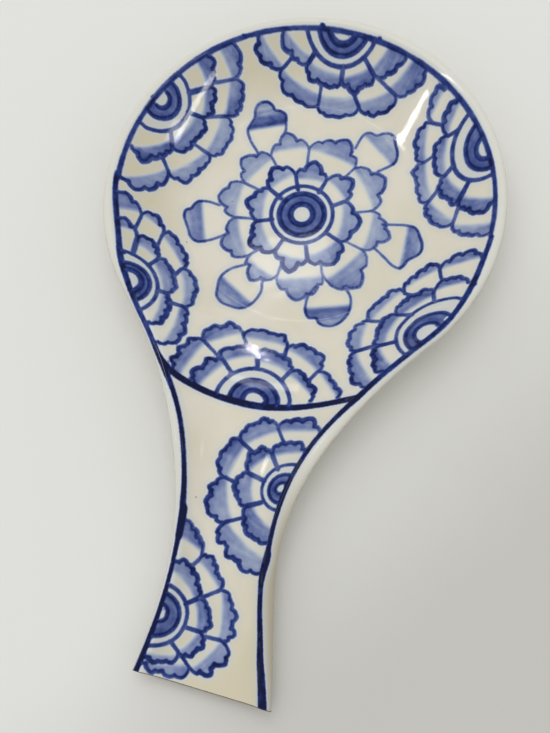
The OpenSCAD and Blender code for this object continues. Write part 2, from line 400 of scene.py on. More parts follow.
def zipped(a, at_a, b, at_b):
    """Triangles between two rows of vertices, which run the same way at the given places."""
    faces = []
    i = j = 0
    while i < len(a) - 1 or j < len(b) - 1:
        if j == len(b) - 1 or (i < len(a) - 1 and at_a[i + 1] <= at_b[j + 1]):
            faces.append((a[i], a[i + 1], b[j]))
            i += 1
        else:
            faces.append((a[i], b[j + 1], b[j]))
            j += 1
    return faces


def spaced(points):
    """Places along a row of points, from 0 to 1."""
    steps = np.linalg.norm(np.diff(points, axis=0), axis=1)
    run = np.concatenate([[0], np.cumsum(steps)])
    return run / run[-1]


class Skin:
    """One face of the glaze coat: a grid of sections, shared along the handle's line, and a floor.
    Each vertex is marked with whether it is on the upper face and how far on the lip and its rim."""

    # Where along a section the lip's thin glaze starts, is full, ends and is gone, in steps from the lip's
    # two ends, and the same for the painted shade on the lip's outer roll round the rim, in shares of the
    # lip.
    LIP_FADE = (-4, 1, -1, 2)
    RIM_FADE = (0.53, 0.63, 0.75, 0.83)

    def __init__(self, form, depth, counts, steps, floor_step, first):
        stations = form.all_round(*counts)
        grid = form.sections(stations, depth, *steps)
        self.rows, self.cols = grid.shape[:2]
        self.lone = counts[2] + 1 + counts[3]
        index = np.arange(self.rows * self.cols).reshape(self.rows, self.cols)
        for i in range(self.rows - self.lone, self.rows):
            for j in (0, -1):
                index[i, j] = index[self.rows - 1 - i, j]
        self.index = index + first
        self.points = [grid.reshape(-1, 3)]
        self.first = first
        self.count = self.rows * self.cols
        wall, lip = steps[:2]
        steps_along = np.arange(self.cols)
        lip_at = np.array(self.LIP_FADE) + (wall, wall, wall + lip, wall + lip)
        rim_at = wall + lip * np.array(self.RIM_FADE)
        marks = [steps_along < wall + lip]
        marks += [np.interp(steps_along, at, (0, 1, 1, 0)) for at in (lip_at, rim_at)]
        self.marks = [np.tile(np.stack(marks, 1), (self.rows, 1))]
        self.faces = self.quads()
        self.lay_floor(form, depth, grid, floor_step)

    def quads(self):
        """The grid's faces."""
        i = self.index
        corners = [i[:-1, :-1], i[:-1, 1:], i[1:, 1:], i[1:, :-1]]
        return [tuple(q) for q in np.stack([c.ravel() for c in corners], 1).tolist()]

    def lay_floor(self, form, depth, grid, step):
        """Rings of near-even triangles from the sections' inner ends to the middle of the floor."""
        rows = slice(self.lone - 1, self.rows - self.lone + 1)
        outer = self.index[rows, 0].tolist()
        at_outer = spaced(grid[rows, 0])
        rings = max(1, round(form.floor_radius / step))
        for k in range(rings - 1, 0, -1):
            radius = form.floor_radius * k / rings
            n = max(6, round(2 * math.pi * radius / step))
            a = 2 * math.pi * np.arange(n) / n
            xy = radius * np.stack([np.sin(a), -np.cos(a)], 1)
            z = form.wall_z(np.full(n, form.dish_radius - form.lip_in - radius)) - depth
            ring = self.add(np.column_stack([xy, z]))
            self.faces += zipped(outer, at_outer, ring + ring[:1], np.arange(n + 1) / n)
            outer, at_outer = ring + ring[:1], np.arange(n + 1) / n
        (middle,) = self.add(np.array([[0, 0, form.floor_z - depth]]))
        self.faces += [(a, b, middle) for a, b in zip(outer, outer[1:])]

    def add(self, points):
        """Adds points of the floor, on the upper face. Returns the numbers of their vertices."""
        start = self.first + self.count
        self.points.append(points)
        self.marks.append(np.tile((1, 0, 0), (len(points), 1)))
        self.count += len(points)
        return list(range(start, start + len(points)))

    def edges(self):
        """The skin's two open edges, round the cut end and round the foot, as rows of vertices."""
        i = self.index
        end = i[0].tolist() + i[-1, ::-1].tolist()[1:]
        foot = i[self.lone - 1 : self.rows - self.lone + 1, -1].tolist()
        return end, foot


# How fine a skin is: stations round the circle, the sweep, the mouth and the handle; steps up the
# wall, over the lip and underneath; and the width of the floor's triangles.
FINE = ((258, 38, 46, 172), (50, 12, 6), 0.6)
PLAIN = ((32, 6, 6, 16), (10, 6, 6), 4)

# Faces that meet at more than this angle keep a sharp edge.
SHARP = math.radians(50)


def glaze_mesh(form):
    """The glaze coat as one closed shell: fine outside, plainer where it lies on the clay.
    Returns its mesh, which vertices lie on the upper face, where a brush can reach, and how far each
    one is on the lip and on its outer rim."""
    fine = Skin(form, 0, *FINE, first=0)
    plain = Skin(form, form.glaze, *PLAIN, first=fine.count)
    points = np.concatenate(fine.points + plain.points)
    faces = fine.faces + [f[::-1] for f in plain.faces]
    for a, b in zip(fine.edges(), plain.edges()):
        faces += [f[::-1] for f in zipped(a, spaced(points[a]), b, spaced(points[b]))]
    marks = np.concatenate(fine.marks + [np.zeros((plain.count, 3))])
    used = np.unique(np.concatenate([np.array(f) for f in faces]))
    place = np.full(len(points), -1)
    place[used] = np.arange(len(used))
    faces = [tuple(place[i] for i in f) for f in faces]
    mesh = bpy.data.meshes.new("glaze_skin")
    mesh.from_pydata((points[used] * MM).tolist(), [], faces)
    upper, lip, rim = marks[used].T
    return mesh, upper > 0, lip, rim


def finished(name, mesh, *materials):
    """A piece of the object, smooth but for its sharp edges, at the origin and riding on the body."""
    for material in materials:
        mesh.materials.append(material)
    mesh.shade_smooth()
    mesh.set_sharp_from_angle(angle=SHARP)
    piece = bpy.data.objects.new(name, mesh)
    bpy.context.scene.collection.objects.link(piece)
    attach(piece, BODY)
    return piece


# The painting

# Everything is in millimetres and degrees, seen from above. A rosette has its middle, the middle of
# its rings, the angles between which it is painted, three rings (radius half way, at the first and
# at the last angle, half width) and two rows of petals. A petal has the angles of its first side at
# the foot and at the shoulder, the radii from which its wash starts at its two sides, and the lobes
# of its scalloped edge (angle, radius).

CENTRE_ROSETTE = ((0.1, -2.6), (-0.6, -1.5), (33, 393), (
    (4.0, 4.0, 4.0, 1.0), (8.1, 8.1, 8.1, 0.95), (11.1, 11.1, 11.1, 0.65),
), (
    (33, 33, 16.5, 17, (38, 19.5), (50, 22.8), (63, 20.8)),
    (71, 71, 15.5, 15.5, (76, 18.5), (90, 22.3), (105, 19)),
    (111, 111, 17, 16.5, (118, 21), (131, 22.7), (143, 19.5)),
    (148, 148, 17, 14.5, (153, 18.8), (161, 20), (173, 21.6), (185, 19)),
    (194, 195, 15, 16, (200, 18.5), (208, 19.3), (219, 21.5), (233, 19.3)),
    (241, 243, 16.5, 16, (251, 17.8), (268, 21.3), (280, 18)),
    (287, 287, 15, 15, (295, 18.6), (313, 21), (329, 19.3)),
    (335, 335, 14.5, 15, (345, 18.5), (366, 20.5), (381, 18.2)),
), (
    (57, 57, 27, 27, (62, 30), (73, 34.4), (83, 32), (91, 30.5)),
    (98, 97, 27.5, 28.5, (103, 31), (112, 34.6), (121, 31)),
    (127, 127, 26, 25, (132, 30.5), (145, 33), (153, 29)),
    (156, 158, 25.5, 24, (163, 30.3), (175, 32.2), (185, 28.5)),
    (192, 190, 23.5, 24.5, (199, 28), (210, 31), (221, 29)),
    (229, 228, 24.5, 25, (231, 26.5), (243, 30), (251, 27.5)),
    (258, 259, 25, 23, (266, 28.3), (277, 31.5), (288, 29.5), (296, 26.5)),
    (302, 299, 25, 24.5, (308, 31), (318, 33.3), (331, 29.3)),
    (339, 340, 24.5, 25, (348, 28.5), (356, 32), (365, 30), (372, 27.5)),
    (376, 376, 25.3, 25.8, (383, 28.5), (398, 33), (409, 30)),
))

BORDER_ROSETTES = (
    ((1.6, 66.9), (1.6, 66.9), (192, 347), (
        (5.2, 5.3, 5.6, 1.0), (8.4, 9.0, 9.6, 0.8), (11.5, 13.4, 12.8, 0.7),
    ), (
        (193, 193, 21, 14, (203, 23), (213, 20.7), (220, 19.3)),
        (222, 227, 15.5, 14, (232, 18.3), (240, 19.5), (252, 18.2), (264, 18.2), (272, 17.5)),
        (279, 277, 14.8, 15.8, (282, 17.5), (292, 20.4), (300, 19.6), (310, 20.6)),
        (318, 316, 16.5, 20.5, (323, 22.3), (331, 24), (340, 25.7)),
    ), (
        (194, 194, 30, 24.5, (198, 31.5), (202, 33), (208, 32), (213, 29)),
        (213, 217, 25.5, 21.5, (221, 27.5), (230, 29), (240, 27.8), (250, 27.3)),
        (253, 258, 21.5, 21.5, (262, 27.5), (268, 28.3), (277, 28.2), (286, 27.6)),
        (290, 293, 23.5, 27, (297, 28.5), (302, 30.5), (310, 31.6), (316, 31.6)),
        (317, 320, 26, 32, (324, 32.5), (329, 34), (334, 35.3), (340, 34.5)),
    )),
    ((-57.4, 27.7), (-57.4, 27.7), (-107, 57), (
        (2.1, 3.0, 3.0, 0.7), (5.1, 6.8, 6.9, 0.7), (8.3, 12.0, 11.0, 0.6),
    ), (
        (-108, -108, 21.5, 12.5, (-104, 22), (-96, 23.8), (-87, 20.5), (-80, 18.7), (-73, 17)),
        (-64, -68, 13, 11, (-56, 17), (-46, 16.5), (-36, 15.2), (-24, 15.3), (-12, 15.8), (-4, 14.8)),
        (0, 1, 13, 16, (5, 15.7), (11, 17.3), (18, 17), (26, 18.8), (33, 19.6)),
        (38, 37, 17, 20, (42, 21), (47, 22), (52, 24.3)),
    ), (
        (-105, -105, 35, 22.5, (-101, 33.5), (-94, 34.7), (-87, 32.7), (-80, 29.5)),
        (-82, -75, 24, 20, (-71, 26.3), (-63, 28), (-54, 26), (-45, 24.7), (-38, 24)),
        (-40, -33, 20, 20, (-30, 24), (-25, 25.4), (-18, 25), (-10, 25.4), (-2, 25), (5, 23.8)),
        (3, 9, 21, 25.5, (12, 26), (18, 27.5), (25, 29), (31, 30)),
        (39, 36, 27, 30, (40, 31.5), (46, 33.7)),
    )),
    ((-51.3, -42), (-51.3, -42), (-53, 119), (
        (3.5, 4.7, 4.0, 1.0), (5.8, 8.2, 6.8, 0.7), (8.1, 12.0, 11.5, 0.6),
    ), (
        (-53, -53, 18.3, 9.8, (-50, 18.2), (-43, 18.6), (-35, 17.2), (-24, 15.8), (-13, 14), (-7, 12.9)),
        (-4, -2, 10.5, 11, (4, 13.4), (13, 14.4), (24, 14), (38, 14.2), (50, 14.3), (61, 14.8)),
        (69, 67, 12.5, 15.5, (72, 15), (78, 17), (86, 18.7), (95, 19)),
        (103, 100, 20, 22, (104, 21.5), (110, 24.3)),
    ), (
        (-53, -53, 26.5, 17.5, (-50, 26), (-42, 26.7), (-32, 25.3), (-24, 22.7), (-16, 21.3)),
        (-16, -11, 18, 16.8, (-4, 21), (5, 20.6), (13, 21.2), (24, 20.8), (34, 19.8)),
        (30, 40, 18, 22, (45, 20.5), (53, 22), (62, 22.9), (71, 24.4), (77, 24.8)),
        (78, 80, 24.5, 27, (83, 26), (89, 28.7), (95, 29)),
        (103, 99, 28, 28.5, (103, 31.3), (108, 34)),
    )),
    ((-2.4, -72.9), (-2.4, -72.9), (9, 175), (
        (3.2, 4.7, 3.4, 0.9), (6.8, 8.6, 7.8, 0.8), (10.9, 12.6, 12.4, 0.65),
    ), (
        (9, 9, 21.5, 14.7, (13, 20.5), (20, 21.5), (28, 19.8), (38, 19.3), (44, 18.7)),
        (45, 49, 15, 14.2, (52, 17.5), (61, 18.7), (70, 18.3), (80, 18.5), (90, 18.7)),
        (93, 97, 15.8, 16.7, (100, 18), (108, 19.7), (118, 20), (130, 20.8), (135, 20.8)),
        (140, 138, 16, 20, (142, 19), (150, 21.3), (156, 20.5), (167, 22.3), (173, 21.5)),
    ), (
        (10, 10, 28.5, 24, (14, 29.7), (20, 28.3), (28, 27.2)),
        (29, 35, 24, 21.5, (38, 26.3), (44, 28.5), (52, 27.3), (60, 26.3), (67, 24)),
        (66, 70, 22.2, 22.7, (74, 24), (78, 25.8), (86, 25.2), (95, 25.8), (104, 25.8)),
        (107, 111, 24.8, 25.8, (114, 27.5), (119, 29.8), (124, 28.8), (129, 30.2), (136, 30)),
        (139, 141, 26, 26, (144, 29), (148, 30.4), (152, 29.3), (157, 30.2), (162, 28.8), (166, 29.8),
         (171, 28)),
    )),
    ((50.3, -42.2), (50.3, -42.2), (61, 238), (
        (3.5, 4.9, 4.0, 0.65), (6.1, 9.8, 7.6, 0.65), (9.2, 16.5, 10.3, 0.55),
    ), (
        (62, 62, 23.5, 18, (66, 24), (71, 24.4), (76, 23.7), (83, 22.7)),
        (85, 89, 16, 11.5, (92, 18.7), (99, 19), (108, 17.5), (114, 17.7), (124, 16.5), (134, 15.8)),
        (125, 143, 12, 13.5, (149, 15.2), (158, 16.2), (166, 15.8), (176, 16.2), (185, 16), (195, 17)),
        (201, 200, 15.5, 17.5, (203, 17.3), (209, 18.4), (214, 18.2), (221, 20), (229, 20.8), (235, 19.5)),
    ), (
        (65, 65, 33, 26.5, (68, 34), (72, 34.9), (79, 33), (85, 30)),
        (84, 88, 27, 21, (91, 28.8), (95, 29), (101, 27), (108, 25), (115, 23.3)),
        (112, 119, 20.2, 19.5, (122, 22), (129, 22.8), (139, 22), (148, 22.2), (157, 22.3)),
        (161, 166, 20.5, 21.5, (169, 22), (175, 24), (184, 25.2), (192, 25.7), (198, 24.8)),
        (198, 200, 23, 26.5, (203, 25.5), (208, 26.5), (215, 27.3), (224, 28.7), (231, 27.5)),
    )),
    ((59.4, 27.5), (59.4, 27.5), (124, 286), (
        (3.3, 4.5, 3.4, 0.75), (6.4, 9.8, 7.2, 0.7), (10.8, 14.8, 9.9, 0.68),
    ), (
        (122, 122, 21, 15.5, (126, 21.5), (132, 22.4), (140, 21.3), (148, 19.6)),
        (142, 155, 15.3, 13.8, (161, 17.3), (169, 18.2), (178, 17.7), (188, 17.3), (200, 17)),
        (200, 210, 14, 14.8, (214, 16.5), (221, 18.5), (230, 19.2), (238, 18.7), (246, 20)),
        (249, 250, 16, 20.5, (255, 20.3), (261, 20.7), (269, 22.3), (277, 22.7), (284, 20.5)),
    ), (
        (127, 127, 28.5, 24.5, (129, 28), (133, 30.3), (138, 29.5), (145, 27.3)),
        (148, 151, 24.5, 20, (154, 25.3), (160, 26.2), (169, 25.8), (176, 24.2), (182, 23.8)),
        (179, 186, 20, 21.7, (189, 23.3), (194, 24.8), (203, 24), (212, 25), (221, 25.6)),
        (221, 225, 22.8, 25, (228, 25.8), (233, 27.3), (241, 28.3), (248, 28.3)),
        (253, 255, 26.5, 30, (259, 29), (265, 30.2), (271, 30.7), (277, 31.8)),
    )),
)

HANDLE_ROSETTES = (
    ((13, -102), (13.4, -101), (64, 271), (
        (1.6, 2.4, 1.5, 0.5), (3.9, 5.5, 4.6, 0.55), (6.3, 9.4, 7.0, 0.5),
    ), (
        (66, 66, 15, 12.3, (69, 16), (77, 17.7), (88, 17), (98, 16.5), (106, 15.8)),
        (104, 112, 12.8, 12.5, (116, 14.8), (123, 16.5), (130, 15.8), (138, 16.7), (147, 15)),
        (152, 158, 10.2, 9, (163, 13.8), (172, 14.9), (183, 15.2), (194, 14.3), (206, 13.5)),
        (219, 212, 9.8, 14, (224, 14), (232, 15.5), (242, 16.8), (253, 16.8), (262, 17.3)),
    ), (
        (66, 66, 23.5, 20.2, (70, 24.5), (77, 26.6), (87, 25.2), (96, 24.3)),
        (95, 103, 20.3, 19.8, (107, 24.2), (114, 25.6), (120, 24.7), (126, 25), (133, 24)),
        (134, 138, 19.3, 17.8, (143, 24.2), (150, 23.5), (156, 23.8), (164, 23.3), (171, 21.5)),
        (178, 175, 18.2, 17.5, (180, 21.3), (186, 23.3), (191, 22.7), (197, 24.4), (206, 24.4), (214, 22.5)),
        (226, 219, 19.5, 24.5, (223, 24), (229, 25.5), (235, 24.3), (241, 26.6), (248, 25.8), (256, 27.6),
         (265, 27)),
    )),
    ((-16.1, -147.8), (-16.1, -147.8), (-104, 91), (
        (1.5, 2.2, 3.3, 0.55), (5.1, 7.2, 7.0, 0.65), (7.6, 10.5, 9.8, 0.6),
    ), (
        (-103, -103, 12.8, 13.5, (-98, 14), (-89, 15), (-79, 14.7), (-66, 15.2)),
        (-62, -55, 12.3, 12.8, (-50, 14.5), (-42, 16), (-35, 15.6), (-26, 16.5), (-18, 15.5)),
        (-17, -12, 11.8, 11.3, (-8, 14.7), (0, 16), (8, 15.3), (17, 15.2), (27, 14.5)),
        (38, 37, 11.3, 17, (43, 14.2), (51, 14.8), (62, 16.7), (73, 18), (80, 18.8), (86, 17.5)),
    ), (
        (-103, -103, 15.8, 17.3, (-99, 16), (-89, 18.3), (-82, 17.7), (-71, 19.5), (-59, 20.6)),
        (-54, -50, 19, 20.5, (-46, 21.5), (-38, 24.4), (-33, 23), (-25, 25.5), (-18, 24.7)),
        (-15, -11, 19.3, 20.5, (-8, 22.7), (-3, 24.2), (4, 22.8), (11, 24), (20, 22.7), (29, 22.5)),
        (36, 35, 19.8, 20.5, (41, 22.2), (48, 22), (54, 23.2), (61, 24.5), (67, 23.5)),
        (72, 69, 23.5, 28.5, (73, 26.2), (77, 27.3), (81, 29.2), (86, 31)),
    )),
)

# Six single petals round the middle rosette: outline, the two ends of the line from which the wash
# starts, a point on the washed side, and how strong the wash is.
SINGLE_PETALS = (
    (((-21.5, 19.7), (-25.2, 24), (-27.2, 28), (-26.6, 31), (-25.8, 33.5), (-26, 36.5), (-24.9, 38.8),
      (-22.3, 40), (-20.1, 39.2), (-18.9, 37.8), (-17, 37.9), (-14.6, 36.6), (-13.8, 33.5), (-13.3, 30),
      (-14.3, 27.5)),
     (-26.8, 27.4), (-13.6, 32.2), (-20, 36), 0.66),
    (((13.4, 27.5), (14.3, 31), (15.8, 34), (17.9, 34.6), (20, 33.9), (22.3, 35.1), (24.5, 35.3),
      (26.6, 33.9), (27.4, 31.5), (28.5, 29), (28.9, 26.5), (28.3, 24), (26, 21.9), (23, 19.8)),
     (16.2, 31.8), (27, 22.8), (24, 31), 0.33),
    (((-30.8, -3.2), (-35, -2.6), (-38.5, -3), (-40, -4.6), (-40.6, -6.2), (-42.3, -7.2), (-42.5, -9.5),
      (-41.3, -12), (-39.8, -14.5), (-38.5, -17), (-36, -18.4), (-33.5, -18.1), (-30, -16.5), (-26.6, -14.4)),
     (-36.8, -3), (-32.3, -17.5), (-41, -9), 0.46),
    (((-16.5, -24.1), (-20.5, -26), (-23.2, -28.5), (-24.4, -31), (-24.4, -34), (-23.8, -37.5),
      (-21.5, -39.8), (-18.5, -40.4), (-15, -40.6), (-12, -39), (-9.8, -36), (-8.7, -32.5), (-9.1, -29.8),
      (-8.6, -27.9)),
     (-23.5, -29.3), (-11.5, -37), (-22, -38), 0.46),
    (((10, -27.3), (8.1, -31), (7.7, -34), (8, -37), (9.6, -39.3), (12.3, -39), (13.8, -40.8), (16.5, -41.5),
      (19.5, -40.5), (22, -37.5), (23.2, -34), (23, -30.5), (21.8, -28), (19.4, -25.8)),
     (8, -35.6), (23, -31.6), (16, -40), 0.56),
    (((28.6, -0.3), (34, 0.6), (38, 0.9), (40.5, 0.2), (42, -2), (43.6, -5.5), (43.6, -8.5), (42, -10.4),
      (39.8, -11.9), (38.6, -14.3), (37.2, -15.6), (34.5, -14.8), (31, -12.2), (27.6, -9.8)),
     (36.9, 1), (36.9, -16), (42, -8), 0.46),
)

# Border lines as (x, y, half width). The dish's line is a full turn but for the mouth.
LEFT_BORDER = (
    (-65.8, -4, 0.75), (-65.2, -9, 0.75), (-63.3, -16, 0.8), (-59.4, -27, 0.8), (-55.9, -36, 0.95),
    (-48.5, -48, 0.85), (-40.8, -58.2, 0.75), (-36, -65, 0.8), (-31, -72, 0.85), (-27, -78.2, 0.7),
    (-23.3, -86, 0.65),
    (-20.3, -95, 0.65), (-18, -104.5, 0.7), (-16.9, -111.5, 0.9), (-16.3, -114, 1.15), (-16, -121.5, 1.1),
    (-16.1, -124.5, 0.75), (-16.2, -134, 0.65), (-16.9, -144, 0.7), (-18.2, -154, 0.8), (-19.9, -164, 0.9),
    (-20.9, -169, 0.9),
)
RIGHT_BORDER = (
    (65.9, -5, 0.75), (65, -11, 0.75), (62.6, -22.4, 0.9), (58.8, -33, 0.75), (54.3, -40.6, 0.75),
    (45.6, -51, 0.75), (38.2, -60, 0.8), (32.4, -67.8, 0.9), (28, -73.7, 0.8), (23.8, -80, 0.75),
    (20, -87, 0.75), (16.6, -96, 0.7), (14.7, -104, 0.8), (13.8, -112, 0.7), (13.6, -120, 0.8),
    (13.7, -123, 1.2), (13.3, -129, 1.05), (13.5, -133, 0.8), (14.7, -140, 0.8), (16.5, -148, 0.9),
    (18, -155, 1.1), (20, -162, 1.25), (22, -170, 1.4),
)
CROSS_LINE = (
    (-35.5, -65.5, 0.7), (-33, -68.2, 0.9), (-28.3, -71.1, 1.05), (-22, -72.8, 1.05), (-15.8, -73.9, 1.0),
    (-8, -74.7, 1.1), (-1, -74.9, 1.15), (6, -74.2, 1.05), (13, -72.8, 0.95), (21.8, -70.6, 0.9),
    (28, -68.9, 1.0), (32.4, -67.8, 1.0),
)

# Beads where the brush rested on the border, as (x, y, half width).
BEADS = (
    (-6.3, 65.7, 1.2), (-56.8, -32.6, 1.3), (62.6, -22.6, 1.3), (-33.5, 56.8, 1.1), (14.9, 63.8, 1.0),
    (-60.4, 27, 1.1),
)


def polar(at, degrees, radius):
    """Points at these angles and radii round a middle."""
    a = np.radians(degrees)
    return np.stack([at[0] + radius * np.cos(a), at[1] + radius * np.sin(a)], -1)


def rounded(points, steps=4):
    """A smooth line through the points, with whatever else they carry."""
    p = np.array(points, float)
    p = np.concatenate([2 * p[:1] - p[1:2], p, 2 * p[-1:] - p[-2:-1]])
    a, b, c, d = p[:-3, None], p[1:-2, None], p[2:-1, None], p[3:, None]
    w = (np.arange(steps) / steps)[:, None]
    square = a - 2.5 * b + 2 * c - d / 2
    cube = 1.5 * (b - c) + (d - a) / 2
    line = b + (c - a) / 2 * w + square * w**2 + cube * w**3
    return np.concatenate([line.reshape(-1, p.shape[1]), p[-2:-1]])


def encloses(outline, xy):
    """Which points lie inside a closed outline."""
    inside = np.zeros(len(xy), bool)
    x, y = xy.T
    for (ax, ay), (bx, by) in zip(outline, np.roll(outline, -1, axis=0)):
        if ay != by:
            inside ^= ((ay > y) != (by > y)) & (x < (bx - ax) * (y - ay) / (by - ay) + ax)
    return inside


class Painting:
    """Cobalt brushed on the raw clay: for each point that a brush can reach, how far it is from the
    edge of the nearest line, how much cobalt that line holds, and how much wash lies there."""

    # A line counts up to about this distance, and is drawn this many points at a time.
    REACH = 3.5
    PIECE = 10
    TINY = 1e-9

    # The hand is unsteady: a plane of random values, how hard it presses at least, how much more,
    # over which length that changes, and how far a petal's edge strays.
    GRAIN = 64
    PRESS_LEAST, PRESS_MORE, PRESS_WAVE = 0.78, 0.44, 4.5
    SHAKE = 0.05

    # A lobe of a petal's edge: how far along and how far up it is on the way from a dip to its top.
    # A dip is no deeper than a share of its lobe's width, and lies a little towards the lower lobe.
    ARC = np.radians((0, 25, 50, 75, 90))
    ALONG = 1 - np.cos(ARC)
    UP = 0.7 * np.sin(ARC) + 0.3 * ALONG
    DIP_SHARE, DIP_SLANT, DIP_ASIDE = 0.1, 12, 0.15

    # Petals run this many degrees on past the ends of a rosette, under the border. Their lines hold
    # more or less cobalt, swell in the middle, and lean over at the sides.
    MARGIN = 12
    LOADED = (0.85, 1.1)
    SWELL_LEAST, SWELL_MORE = 0.82, 0.34
    LEAN, LEAN_POINTS, SIDE_LOAD = 0.7, 5, 0.95

    # A petal's wash lies between its side lines, which are at least so high, and starts a little
    # below a line between an arc and a chord. It has streaks as wide as the brush's hairs, is
    # stronger towards one side, pools where it starts and deepens upwards.
    WASH_ARC, WASH_CHORD, WASH_OVER, WASH_START = 0.35, 0.65, 0.3, 1
    LEAST_SIDE = 0.1
    WASHED = (0.75, 1.15)
    HAIR, HAIR_RUN = 0.8, 7
    STREAK_LEAST, STREAK_MORE, ASIDE = 0.84, 0.32, 0.3
    POOL, POOL_WIDTH = 0.1, 0.8
    DEEP_AT, DEEPER, PALER = 4.5, 0.3, 0.15

    # The rings of a rosette: points of their lines, how they pass from one radius to another, the
    # cobalt in each line, the strong wash between the first two and the pale one beside them. The
    # inner petals are washed more strongly, and the outer ones have finer lines.
    RING_POINTS, RING_POWER = 61, 1.8
    RING_LOADS = (0.78, 0.78, 0.76)
    RING_HAIR, RING_RUN = 0.9, 9
    BAND_LEAST, BAND_MORE, PALE = 0.48, 0.22, 0.04
    INNER_WASH = 1.1
    OUTER_LINE, OUTER_SIDE = 0.46, 0.42

    # Single petals: their thin outline, their stronger far edge, and their wash, which pools where it
    # starts and fades away from there.
    THIN_LINE, THIN_LOAD = 0.3, 0.58
    FAR_LINE, FAR_LOAD = 0.66, 0.74
    SINGLE_HAIR, SINGLE_RUN = 0.7, 8
    SINGLE_LEAST, SINGLE_MORE, SINGLE_START = 0.85, 0.3, -0.5
    SINGLE_POOL, SINGLE_POOL_AT, SINGLE_POOL_WIDTH = 0.15, 2.5, 1.6
    SINGLE_FADE, SINGLE_FADE_AT = 0.5, 8

    # The line round the dish wavers about a circle, from one angle to another in these steps. The
    # borders hold more cobalt on the handle, and the two fields part at the mouth. A bead is a touch
    # of the brush.
    BORDER_ANGLES = (-4, 188, 3.0)
    BORDER_RADIUS, BORDER_WAVER = 65.6, 0.35
    BORDER_LOAD, LINE_LOAD, HANDLE_LOAD = 0.8, 0.9, 1.04
    HANDLE_FROM = 62
    LEFT_MOUTH, RIGHT_MOUTH = -66, -67.8
    BEAD_RUN, BEAD_WIDTH, BEAD_LOAD = 0.4, 0.62, 0.85

    def __init__(self, xy, brush, seed=7):
        self.xy = xy
        self.brush = in_mm(brush)
        self.edge = np.full(len(xy), self.REACH)
        self.load = np.zeros(len(xy))
        self.wash = np.zeros(len(xy))
        self.field = np.ones(len(xy), bool)
        self.random = np.random.default_rng(seed)
        self.grain = self.random.random((self.GRAIN, self.GRAIN))

    def uneven(self, u, v):
        """Smooth random values from 0 to 1 over a plane."""
        i, j = np.floor(u).astype(int), np.floor(v).astype(int)
        s, t = eased(u - i), eased(v - j)

        def at(di, dj):
            return self.grain[(i + di) % self.GRAIN, (j + dj) % self.GRAIN]

        return (at(0, 0) * (1 - s) + at(1, 0) * s) * (1 - t) + (at(0, 1) * (1 - s) + at(1, 1) * s) * t

    def pressure(self, line):
        """How hard the brush is pressed along a line: it makes the line wider or narrower."""
        waves = self.uneven(line[:, 0] / self.PRESS_WAVE, line[:, 1] / self.PRESS_WAVE)
        return self.PRESS_LEAST + self.PRESS_MORE * waves

    def stroke(self, line, half, load):
        """A line of a given half width along its points. It stays inside the field."""
        line = np.asarray(line, float)
        half = np.broadcast_to(half, len(line))
        for first in range(0, len(line) - 1, self.PIECE):
            part = line[first : first + self.PIECE + 1]
            wide = half[first : first + self.PIECE + 1]
            low, high = part.min(0) - self.REACH, part.max(0) + self.REACH
            near = np.flatnonzero(self.field & np.all((self.xy > low) & (self.xy < high), 1))
            if not len(near):
                continue
            step = part[1:] - part[:-1]
            away = self.xy[near][:, None] - part[None, :-1]
            w = np.clip((away * step).sum(2) / np.maximum((step * step).sum(1), self.TINY), 0, 1)
            gap = np.linalg.norm(away - w[..., None] * step, axis=2) - (wide[:-1] * (1 - w) + wide[1:] * w)
            gap = gap.min(1)
            closer = gap < self.edge[near]
            self.edge[near[closer]] = gap[closer]
            self.load[near[closer]] = load

    def around(self, middle, first_at):
        """Every point's radius from a middle, and its angle there from a first one upwards."""
        away = self.xy - middle
        turned = np.degrees(np.arctan2(away[:, 1], away[:, 0])) - first_at
        return np.hypot(*away.T), first_at + turned % 360

    def scallops(self, petal, end, low_a, low_b):
        """A petal's outer edge as angles and radii: round lobes with a dip between each two."""
        lobes = petal[4:]
        dips = []
        for (a, r), (b, s) in zip(lobes, lobes[1:]):
            depth = min(self.brush.scallop, math.radians(b - a) * r * self.DIP_SHARE)
            aside = min(max((s - r) / self.DIP_SLANT, -self.DIP_ASIDE), self.DIP_ASIDE)
            dips.append((a + (b - a) * (0.5 - aside), min(r, s) - depth))
        ends = [(petal[1], low_a), *dips, (end, low_b)]
        along, up = self.ALONG, self.UP
        angles, radii = [], []
        for (a, low), (top_at, top), (b, next_low) in zip(ends, lobes, ends[1:]):
            angles += [a + (top_at - a) * along, b + (top_at - b) * along[::-1]]
            radii += [low + (top - low) * up, next_low + (top - next_low) * up[::-1]]
        return np.concatenate(angles), np.concatenate(radii)

